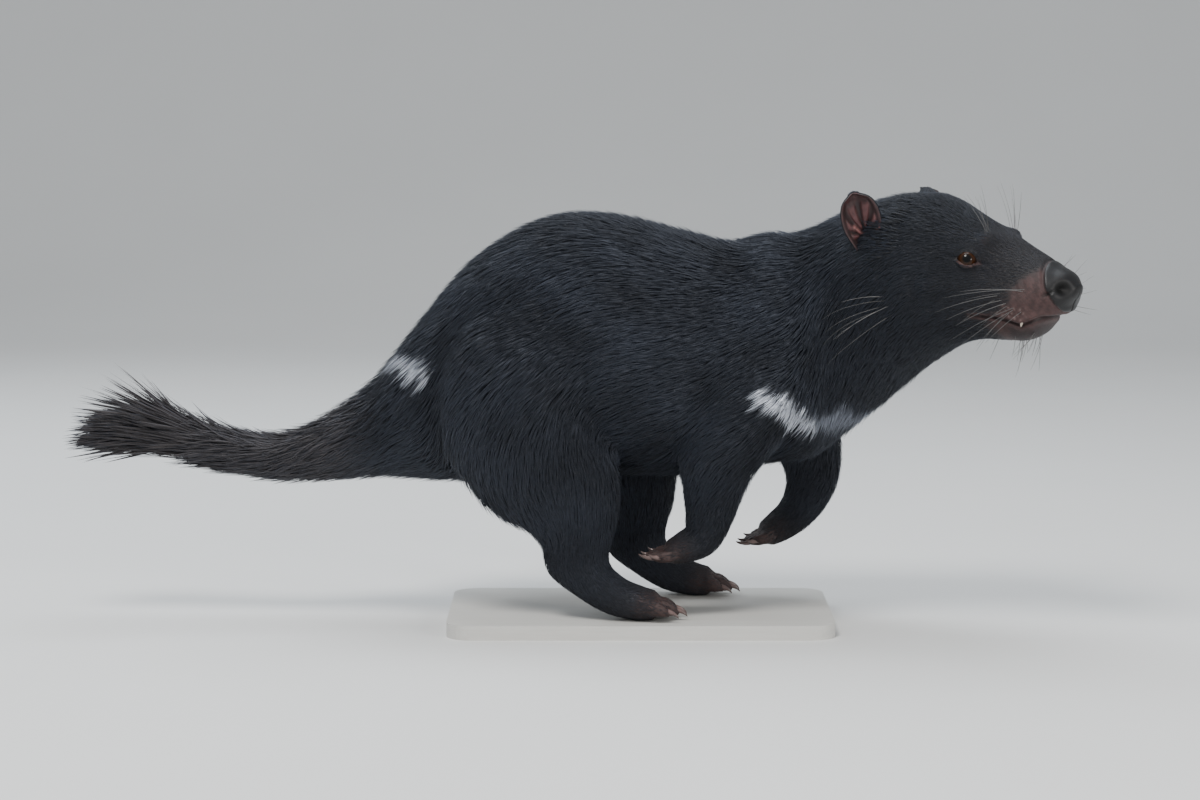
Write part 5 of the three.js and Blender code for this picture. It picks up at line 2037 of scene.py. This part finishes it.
class Ear:
    """A rounded leaf of skin, cupped forward and out, folded within and furred behind."""

    def __init__(self, side: Side, paint: Material, coat: Coat) -> None:
        """Builds one ear.

        Args:
            side: which ear.
            paint: the ear's material.
            coat: the coat that takes the ear's fur.
        """
        s = side.value
        self.side = side
        self.root = np.array([EAR.x, EAR.y * s, EAR.z])
        self.up = unit(np.array([-0.16, 0.3 * s, 0.94]))
        face = np.array([0.5, 0.86 * s, 0.1])
        self.face = unit(face - self.up * (face @ self.up))
        self.across = np.cross(self.up, self.face) * -s
        share, across = np.linspace(0, 1, EAR.grid), np.linspace(-1, 1, EAR.grid)
        vv, uu = np.meshgrid(share, across, indexing="ij")
        rings = np.concatenate([self.leaf(uu, vv, False), self.leaf(uu[:, ::-1], vv, True)], axis=1)
        verts, faces = closed_tube(NECK.place(rings), 0.5, 0.4)
        name = "ear_shell_" + side.name.lower()
        self.object = mesh_object(name, verts, outward(verts, faces))
        self.colour(verts)
        self.object.data.materials.append(paint)
        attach(self.object, "root")
        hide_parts("ear_" + side.name.lower())
        log.info("%s: %d faces", name, len(self.object.data.polygons))
        self.fur(coat)

    def half(self, v: np.ndarray) -> np.ndarray:
        """Gives half the ear's width at a share of its height."""
        over = np.maximum(0, (v - EAR.widest) / (1 - EAR.widest))
        return EAR.half * (0.6 + 0.4 * smooth(v / EAR.widest)) * np.maximum(0.06, 1 - over**2.6) ** 0.5

    @staticmethod
    def ridges(u: np.ndarray, share: np.ndarray) -> tuple[np.ndarray, np.ndarray]:
        """Gives the forms inside the ear.

        Args:
            u: places across it, from -1 behind to 1 in front.
            share: the share of its height.

        Returns:
            The forked ridge at its foot and the fins that fan out over it, each from 0 to 1.
        """
        x, y = u * EAR.half, share * EAR.height
        stem, _ = line_distance(x, y, EAR_FORK)
        branch, _ = line_distance(x, y, EAR_BRANCH)
        fork = bell(np.minimum(stem, branch) / 1.5) * smooth((share + 0.1) / 0.1)
        turn = np.arctan2(y - 13, x - 1.5)
        away = np.hypot(x - 1.5, y - 13)
        fins = smooth(0.62 + 0.62 * np.cos(13 * turn + 0.05 * away))
        fins = fins * smooth((away - 5) / 5) * smooth((0.9 - share) / 0.14)
        fins = fins * smooth((0.84 - np.abs(u)) / 0.16)
        return fork, fins * smooth((y - 12) / 4)

    def leaf(self, u: np.ndarray, v: np.ndarray, back: bool) -> np.ndarray:
        """Gives points of the leaf.

        Args:
            u: places across it, from -1 to 1.
            v: places up it, from 0 to 1.
            back: whether they lie on the back.

        Returns:
            The points in the straight head. The front carries a rolled rim, fanned fins and a forked
            ridge at its foot.
        """
        cup = EAR.depth * (1 - 0.45 * v) * (1 - u * u)
        height = -EAR.sunk + (EAR.height + EAR.sunk) * v
        share = np.maximum(0, height / EAR.height)
        out = -cup + 0.12 * EAR.depth
        if back:
            out = out - EAR.wall * (1.5 - 0.7 * v)
            width = u * self.half(share)
        else:
            rim = 1.7 * bell((np.abs(u) - 0.92) / 0.1) * smooth(share / 0.2)
            top = 1.4 * bell((share - 0.95) / 0.05)
            fork, fins = self.ridges(u, share)
            hollow = 1.8 * bell((u - 0.15) / 0.5) * bell((share - 0.42) / 0.14)
            out = out + rim + top + 2.4 * fork + 2.3 * fins - hollow
            width = u * self.half(share) * (0.93 + 0.05 * smooth((np.abs(u) - 0.8) / 0.2))
        place = self.root + self.up * height[..., None] + self.across * width[..., None]
        return place + self.face * out[..., None]

    def colour(self, verts: np.ndarray) -> None:
        """Stores dusky red within, with painted shade in the folds between the fins and low in the ear,
        a painted highlight on the forked ridge, and black behind.
        """
        p = NECK.straighten(verts)
        rel = p - self.root
        share = np.clip(rel @ self.up / EAR.height, -0.25, 1)
        v = np.clip(share, 0, 1)
        u = np.clip((rel @ self.across) / np.maximum(self.half(v), 1), -1.2, 1.2)
        cup = EAR.depth * (1 - 0.45 * (share + 0.27) / 1.27) * (1 - np.minimum(u * u, 1))
        out = rel @ self.face + cup - 0.12 * EAR.depth
        inside = smooth((out + 1.6) / 0.8) * smooth((1.02 - np.abs(u)) / 0.1)
        fork, fins = self.ridges(u, np.maximum(share, 0))
        # the fins keep the ear's colour and the ground between them goes dark: painted shade in the
        # folds
        tone = mix(np.broadcast_to(np.array(TONES.fold), p.shape).copy(), TONES.ear, 0.12 + 0.88 * fins)
        # the forked ridge goes lighter: a painted highlight
        tone = mix(tone, TONES.ridge, 0.8 * fork)
        rim = smooth((np.maximum(np.abs(u), share) - 0.8) / 0.12)
        tone = mix(tone, np.array(TONES.ear) * 0.6, 0.8 * rim)
        tone = tone * (1 + 0.25 * ripple(p, 5, 31))[..., None]
        tone = mix(np.broadcast_to(np.array(TONES.black), p.shape).copy(), tone, inside)
        set_colours(self.object, "tone", tone)

    def grow(self, u: np.ndarray, v: np.ndarray, length: np.ndarray, stand: float) -> np.ndarray:
        """Gives the paths of hairs on the ear's back and rim.

        Args:
            u: places across it.
            v: places up it.
            length: the hairs' lengths as a share of the ear's height.
            stand: how far the tips stand off.

        Returns:
            The paths, with two steps from root to tip.
        """
        path = []
        sway = np.sin(v * 611 + u * 173)
        for k in (0.0, 0.5, 1.0):
            vk = v + length * k * (1 - 0.35 * v)
            q = self.leaf(u * (1 + 0.06 * k), np.minimum(vk, 1.0), True) - self.face * (0.2 + stand * k)
            over = np.maximum(vk - 1.0, 0)[:, None]
            path.append(NECK.place(q + over * (self.up * 22 - self.across * (8 + 14 * sway)[:, None])))
        return np.array(path)

    def fur(self, coat: Coat) -> None:
        """Grows short fur on the ear's back and rim, and longer hair in front of its foot."""
        rng = np.random.default_rng(700 + self.side.value)
        count, fringe, locks = EAR.hairs, EAR.fringe, EAR.locks
        u = np.concatenate([rng.uniform(-1, 1, count), np.sign(rng.uniform(-1, 1, fringe)) * 0.99])
        v = np.concatenate([rng.uniform(0.16, 1.0, count) ** 0.9, rng.uniform(0.3, 0.98, fringe)])
        paths = [self.grow(u, v, rng.uniform(0.07, 0.13, len(u)), 1.6)]
        back = NECK.place(self.root + 10 * self.face) - NECK.place(self.root)
        normals = [np.broadcast_to(-unit(back), (len(u), 3))]
        widths = [rng.uniform(0.6, 1.1, len(u))]

        x = rng.uniform(233, 256, locks)
        z = 308 + (x - 233) * 0.35 + rng.uniform(0, 34, locks)
        roots = np.array([HEAD_MAP.find(a, b, self.side) for a, b in zip(x, z)])
        way = np.array([-0.86, 0.34 * self.side.value, 0.28]) + rng.normal(0, 0.1, (locks, 3))
        way[:, 2] += (z - 325) * 0.008
        way, reach = unit(way), (rng.uniform(8, 15, locks) + 7 * smooth((z - 328) / 12))[:, None]
        bow = np.array([-0.2, -0.1 * self.side.value, -0.12])
        steps = [NECK.place(roots + (way * k + bow * k * k) * reach) for k in (0.0, 0.5, 1.0)]
        paths.append(np.array(steps))
        normals.append(np.tile((0.2, self.side.value * 0.9, 0.4), (locks, 1)))
        widths.append(rng.uniform(0.8, 1.4, locks))

        path, normal = np.concatenate(paths, axis=1), np.concatenate(normals)
        total = len(normal)
        tone = np.array(TONES.black) * rng.uniform(0.6, 1.3, (total, 1))
        left = 0.86 if self.side is Side.RIGHT else 0.93
        u, v = rng.uniform(0, 1, total), rng.uniform(0, 1, total)
        home = Chart(left, 0.01, left + 0.06, 0.09).place(u, v)
        width = np.concatenate(widths)
        coat.write("ear_" + self.side.name.lower(), path, normal, width, tone, home, rng)


# Eyes, claws, teeth and whiskers


class Eye:
    """An eyeball with a raised cornea, which carries each point's distance from its axis."""

    def __init__(self, side: Side, paint: Material) -> None:
        """Builds and dresses one eye.

        Args:
            side: which eye.
            paint: the eye's material.
        """
        self.centre, self.look, self.corner, self.high = eye_axes(side)
        verts, faces = closed_tube(NECK.place(self.ball()), 0.0, 0.0)
        obj = mesh_object("eyeball_" + side.name.lower(), verts, outward(verts, faces))
        set_values(obj, "gaze", self.gaze(verts))
        obj.data.materials.append(paint)
        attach(obj, "root")
        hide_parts("eye_" + side.name.lower())
        log.info("%s: %d faces", obj.name, len(obj.data.polygons))

    def ball(self) -> np.ndarray:
        """Gives the ball's rings in the straight head, which stand out over the cornea."""
        rows, columns = EYE.grid
        polar = np.linspace(0.02, math.pi - 0.02, rows)
        angle = np.arange(columns) / columns * 2 * math.pi
        pp, aa = np.meshgrid(polar, angle, indexing="ij")
        radius = EYE.radius + EYE.cornea * smooth((0.75 - pp) / 0.35)
        return (
            self.centre
            + self.look * (radius * np.cos(pp))[..., None]
            + self.corner * (radius * np.sin(pp) * np.cos(aa))[..., None]
            + self.high * (radius * np.sin(pp) * np.sin(aa))[..., None]
        )

    def gaze(self, verts: np.ndarray) -> np.ndarray:
        """Gives each point's angle from the axis, as a share of the iris's whole reach."""
        rel = NECK.straighten(verts) - self.centre
        gaze = np.arccos(np.clip(unit(rel) @ self.look, -1, 1)) / EYE.iris
        return np.clip(gaze, 0, 1.0)


class Bundle:
    """Closed tubes gathered into one mesh, with a value or colour for each of their points."""

    def __init__(self) -> None:
        """Starts empty."""
        self.verts: list[np.ndarray] = []
        self.quads: list[np.ndarray] = []
        self.fans: list[np.ndarray] = []
        self.values: list[np.ndarray] = []
        self.count = 0

    def add(self, verts: np.ndarray, faces: list[np.ndarray], values: np.ndarray) -> None:
        """Adds one tube, turned outwards, with its points' values."""
        quads, fans = outward(verts, faces)
        self.quads.append(quads + self.count)
        self.fans.append(fans + self.count)
        self.verts.append(verts)
        self.values.append(values)
        self.count += len(verts)

    def build(self, name: str) -> bpy.types.Object:
        """Writes the tubes as one mesh object."""
        faces = [np.concatenate(self.quads), np.concatenate(self.fans)]
        return mesh_object(name, np.concatenate(self.verts), faces)


class Claws:
    """The claws of one foot, as one piece."""

    def __init__(self, name: str, toes: list[Toe], paint: Material) -> None:
        """Builds and dresses the claws.

        Args:
            name: the piece's name.
            toes: the foot's toes.
            paint: the horn's material.
        """
        bundle = Bundle()
        for toe in toes:
            bundle.add(*toe.blade())
        obj = bundle.build(name)
        set_values(obj, "reach", np.concatenate(bundle.values))
        obj.data.materials.append(paint)
        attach(obj, "root")
        log.info("%s: %d claws", name, len(toes))


@dataclass(frozen=True)
class WhiskerGroup:
    """One group of whiskers.

    x and z bound the roots on the side of the head, top and foot are the hairs' ways at the upper and
    lower end of that box, curl bends them, length is the least and the most, and stray spreads them.
    """

    count: int
    x: Pair
    z: Pair
    top: Triple
    foot: Triple
    curl: Triple
    length: Pair
    stray: float


PAD_WHISKERS = WhiskerGroup(
    13, (318, 350), (268, 290), (-0.85, 0.5, 0.12), (-0.62, 0.42, -0.6), (0, 0, -0.3), (26, 66), 0.11
)
BROW_WHISKERS = WhiskerGroup(
    6, (311, 317), (325, 330), (-0.2, 0.32, 0.93), (-0.1, 0.3, 0.95), (-0.3, 0.1, 0), (30, 50), 0.12
)
CHEEK_WHISKERS = WhiskerGroup(
    7, (234, 258), (266, 282), (-0.85, 0.5, 0.1), (-0.7, 0.45, -0.5), (0, 0, -0.4), (34, 62), 0.08
)
CHIN_WHISKERS = WhiskerGroup(
    8, (318, 356), (246, 254), (-0.3, 0.3, -0.9), (-0.1, 0.2, -0.97), (-0.2, 0, 0), (14, 32), 0.2
)
FAR_WHISKERS = WhiskerGroup(
    9, (346, 360), (272, 297), (0.2, 0.6, 0.75), (0.5, 0.85, -0.3), (0, 0, 0.05), (26, 39), 0.13
)
WHISKERS = {
    Side.RIGHT: (PAD_WHISKERS, BROW_WHISKERS, CHEEK_WHISKERS, CHIN_WHISKERS),
    Side.LEFT: (PAD_WHISKERS, BROW_WHISKERS, CHEEK_WHISKERS, CHIN_WHISKERS, FAR_WHISKERS),
}


class Whiskers:
    """The whiskers of one side as one piece: long hairs that bow and taper to a point."""

    STEPS = 12  # points along a hair
    RADIUS = 0.2

    def __init__(self, side: Side, paint: Material) -> None:
        """Builds and dresses the whiskers.

        Args:
            side: which side.
            paint: the whiskers' material.
        """
        self.side = side
        rng = np.random.default_rng(40 + side.value)
        bundle = Bundle()
        for group in WHISKERS[side]:
            for i in range(group.count):
                verts, faces = self.hair(group, (i + rng.uniform(0.2, 0.8)) / group.count, rng)
                grey = rng.uniform(0.04, 0.16)
                tone = (grey, grey * 0.97, grey * 0.95)
                bundle.add(verts, faces, np.tile(tone, (len(verts), 1)))
        obj = bundle.build("whiskers_" + side.name.lower())
        set_colours(obj, "tone", np.concatenate(bundle.values))
        obj.data.materials.append(paint)
        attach(obj, "root")
        log.info("%s: %d hairs", obj.name, len(bundle.verts))

    def hair(self, group: WhiskerGroup, high: float, rng: np.random.Generator) -> Shell:
        """Builds one hair.

        Args:
            group: the group that it belongs to.
            high: how high its root lies in the group's box, from 0 to 1.
            rng: the seeded generator.

        Returns:
            Its points and faces.
        """
        mirror = np.array([1.0, self.side.value, 1.0])
        x, z = rng.uniform(*group.x), group.z[0] + (group.z[1] - group.z[0]) * high
        root = HEAD_MAP.find(x, z, self.side)
        way = np.array(group.foot) * (1 - high) + np.array(group.top) * high
        way = unit((way + rng.normal(0, group.stray, 3)) * mirror)
        curl = np.array(group.curl) * mirror * rng.uniform(0.5, 1.3)
        length = rng.uniform(*group.length)
        k = np.linspace(0, 1, self.STEPS)[:, None]
        path = root + length * (way * k + curl * k * k * 0.6) - way * 1.0 * (1 - k)
        radius = self.RADIUS * (1 - k[:, 0]) ** 0.7 + 0.05
        rings = rod(NECK.place(path), radius, radius, np.array([0.1, 0.2, 0.97]), 4)
        return closed_tube(rings, 0.05, 0.05)


@dataclass(frozen=True)
class CanineSize:
    """The tip of an upper canine: where it shows under the lip, its length and its radius."""

    x: float = 347.5
    z: float = 265.0
    length: float = 5.4
    radius: float = 1.45


CANINE = CanineSize()


class Canine:
    """The tip of an upper canine, showing under the lip."""

    def __init__(self, side: Side, paint: Material) -> None:
        """Builds and dresses one tip.

        Args:
            side: which side.
            paint: the tooth's material.
        """
        p = HEAD_MAP.find(347, 264, side)
        k = np.linspace(0, 1, 10)
        y = p[1] - side.value * (1.2 - 1.0 * k)
        path = np.stack([CANINE.x - 0.4 * k, y, CANINE.z - CANINE.length * k], axis=-1)
        radius = CANINE.radius * (1 - k) ** 0.5 + 0.2
        rings = rod(NECK.place(path), radius, radius, np.array([1.0, 0.0, 0.0]), 14)
        verts, faces = closed_tube(rings, 0.3, 0.3)
        obj = mesh_object("canine_" + side.name.lower(), verts, outward(verts, faces))
        obj.data.materials.append(paint)
        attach(obj, "root")
        log.info("%s: %d faces", obj.name, len(obj.data.polygons))


# Studio


@dataclass(frozen=True)
class ViewSize:
    """The camera: what it looks at, how far off it stands, how far it looks down, and its lens."""

    target: Triple = (-0.0336, 0.0, 0.1875)
    distance: float = 2.6
    down: float = math.radians(6)
    lens: float = 92.86
    sensor: float = 36.0


@dataclass(frozen=True)
class FloorSize:
    """The floor: its reach, where it starts to curve up into the wall, the curve and the wall's top."""

    reach: float = 16000.0
    bend_from: float = 2600.0
    bend: float = 1800.0
    top: float = 5200.0


@dataclass(frozen=True)
class Sky:
    """The light from all round: its colour and strength."""

    colour: Colour = (0.86, 0.90, 0.95, 1)
    strength: float = 0.62


@dataclass(frozen=True)
class Lamp:
    """One soft light: its place, size, strength and colour."""

    name: str
    at: Triple
    size: float
    power: float
    colour: Triple


LAMPS = (
    Lamp("key", (-0.6, -1.4, 2.3), 0.9, 62.0, (1.0, 0.985, 0.96)),
    Lamp("front", (1.5, -1.7, 0.75), 0.45, 20.0, (1.0, 0.98, 0.95)),
    Lamp("top", (0.1, 0.4, 2.4), 1.8, 40.0, (0.88, 0.94, 1.0)),
    Lamp("rim", (-1.4, 1.4, 1.5), 1.2, 22.0, (0.86, 0.93, 1.0)),
)


class Studio:
    """The floor, the sky, the lights and the camera."""

    def __init__(self) -> None:
        """Sets up all four."""
        self.view = ViewSize()
        self.target = Vector(self.view.target)
        floor = mesh_object("floor", *self.sweep(FloorSize()))
        floor.data.materials.append(FloorFinish().make())
        floor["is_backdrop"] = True
        self.light_sky(Sky())
        for lamp in LAMPS:
            self.hang(lamp)
        self.set_camera()
        log.info("studio: floor, sky, %d lights, camera", len(LAMPS))

    @staticmethod
    def sweep(size: FloorSize) -> Shell:
        """Builds the floor, which curves up behind into a wall with no corner.

        Args:
            size: the floor's sizes.

        Returns:
            The points in millimetres and the faces.
        """
        turn = np.linspace(0, math.pi / 2, 25)
        back = size.bend_from + size.bend * np.sin(turn)
        y = np.concatenate([[-size.reach, 0], back, [size.bend_from + size.bend]])
        z = np.concatenate([[0, 0], size.bend - size.bend * np.cos(turn), [size.top]])
        x = np.array([-size.reach, size.reach])
        verts = np.array([(a, b, c) for b, c in zip(y, z) for a in x])
        i = np.arange(len(y) - 1) * 2
        return verts, [np.stack([i, i + 1, i + 3, i + 2], axis=-1)]

    @staticmethod
    def light_sky(sky: Sky) -> None:
        """Sets the world's light."""
        world = bpy.data.worlds.new("studio_sky")
        world.use_nodes = True
        background = world.node_tree.nodes["Background"]
        background.inputs["Color"].default_value = sky.colour
        background.inputs["Strength"].default_value = sky.strength
        bpy.context.scene.world = world

    def hang(self, lamp: Lamp) -> None:
        """Adds one light, aimed at the animal."""
        data = bpy.data.lights.new("light_" + lamp.name, "AREA")
        data.shape, data.size, data.energy, data.color = "DISK", lamp.size, lamp.power, lamp.colour
        obj = bpy.data.objects.new("light_" + lamp.name, data)
        obj.location = lamp.at
        obj.rotation_euler = (self.target - Vector(lamp.at)).to_track_quat("-Z", "Y").to_euler()
        bpy.context.scene.collection.objects.link(obj)

    def set_camera(self) -> None:
        """Adds the camera on the animal's right side, a little above its middle."""
        view = self.view
        data = bpy.data.cameras.new("camera")
        data.lens, data.sensor_width = view.lens, view.sensor
        camera = bpy.data.objects.new("camera", data)
        back = Vector((0, -math.cos(view.down), math.sin(view.down))) * view.distance
        camera.location = self.target + back
        camera.rotation_euler = (-back).to_track_quat("-Z", "Y").to_euler()
        bpy.context.scene.collection.objects.link(camera)
        bpy.context.scene.camera = camera


# Animal


class Devil:
    """The whole animal on its stand."""

    def __init__(self, nodes: dict[str, bpy.types.Object]) -> None:
        """Lays out the body, the legs and the toes.

        Args:
            nodes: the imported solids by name.
        """
        self.nodes = nodes
        self.spine = Spine()
        hind = [Leg(hind_rings(0.0), Side.RIGHT), Leg(hind_rings(HIND_STEP), Side.LEFT)]
        fore = [Leg(FORE_RINGS[Side.RIGHT], Side.RIGHT), Leg(FORE_RINGS[Side.LEFT], Side.LEFT)]
        self.legs = hind + fore
        self.hind_toes = [foot_toes(leg, HIND_TOES) for leg in hind]
        self.fore_toes = [foot_toes(leg, FORE_TOES) for leg in fore]

    def build_skin(self) -> Skin:
        """Builds and dresses the one skin, which stands for all the solids of flesh."""
        toes = [toe for foot in self.hind_toes + self.fore_toes for toe in foot]
        skin = Skin(self.spine, self.legs, toes)
        skin.object.data.materials.append(HideFinish().make())
        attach(skin.object, "root")
        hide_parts(*Skin.NODES)
        return skin

    def build_coat(self, skin: Skin) -> None:
        """Grows the coat region by region, then the ears with their fur."""
        tubes = [self.spine] + self.legs
        coat = Coat(Hide(skin, tubes), FurFinish().make())
        for i, region in enumerate(REGIONS):
            coat.grow(region, tubes[region.tube], 100 + i)
        ears = EarFinish().make()
        for side in Side:
            Ear(side, ears, coat)
        log.info("coat: %d pieces, %d triangles", coat.pieces, coat.triangles)

    def build_details(self) -> None:
        """Builds the eyes, whiskers, canines and claws, and paints the stand."""
        eyes, hairs, ivory = EyeFinish().make(), WhiskerFinish().make(), ToothFinish().make()
        for side in Side:
            Eye(side, eyes)
            Whiskers(side, hairs)
            Canine(side, ivory)
        horn = HornFinish().make()
        for label, feet in (("hind", self.hind_toes), ("fore", self.fore_toes)):
            for side, toes in zip((Side.RIGHT, Side.LEFT), feet):
                Claws(f"claws_{label}_{side.name.lower()}", toes, horn)
        board = self.nodes["stand_base"]
        board.data.materials.clear()
        board.data.materials.append(BoardFinish().make())
        log.info("stand: painted")


def main() -> None:
    """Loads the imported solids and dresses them."""
    logging.basicConfig(level=logging.INFO, format="%(message)s")
    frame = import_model()
    solids_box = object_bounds()
    devil = Devil(frame["nodes"])
    devil.build_coat(devil.build_skin())
    devil.build_details()
    Studio()
    plain = [[list(map(float, corner)) for corner in box] for box in (solids_box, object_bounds())]


if __name__ == "__main__":
    main()
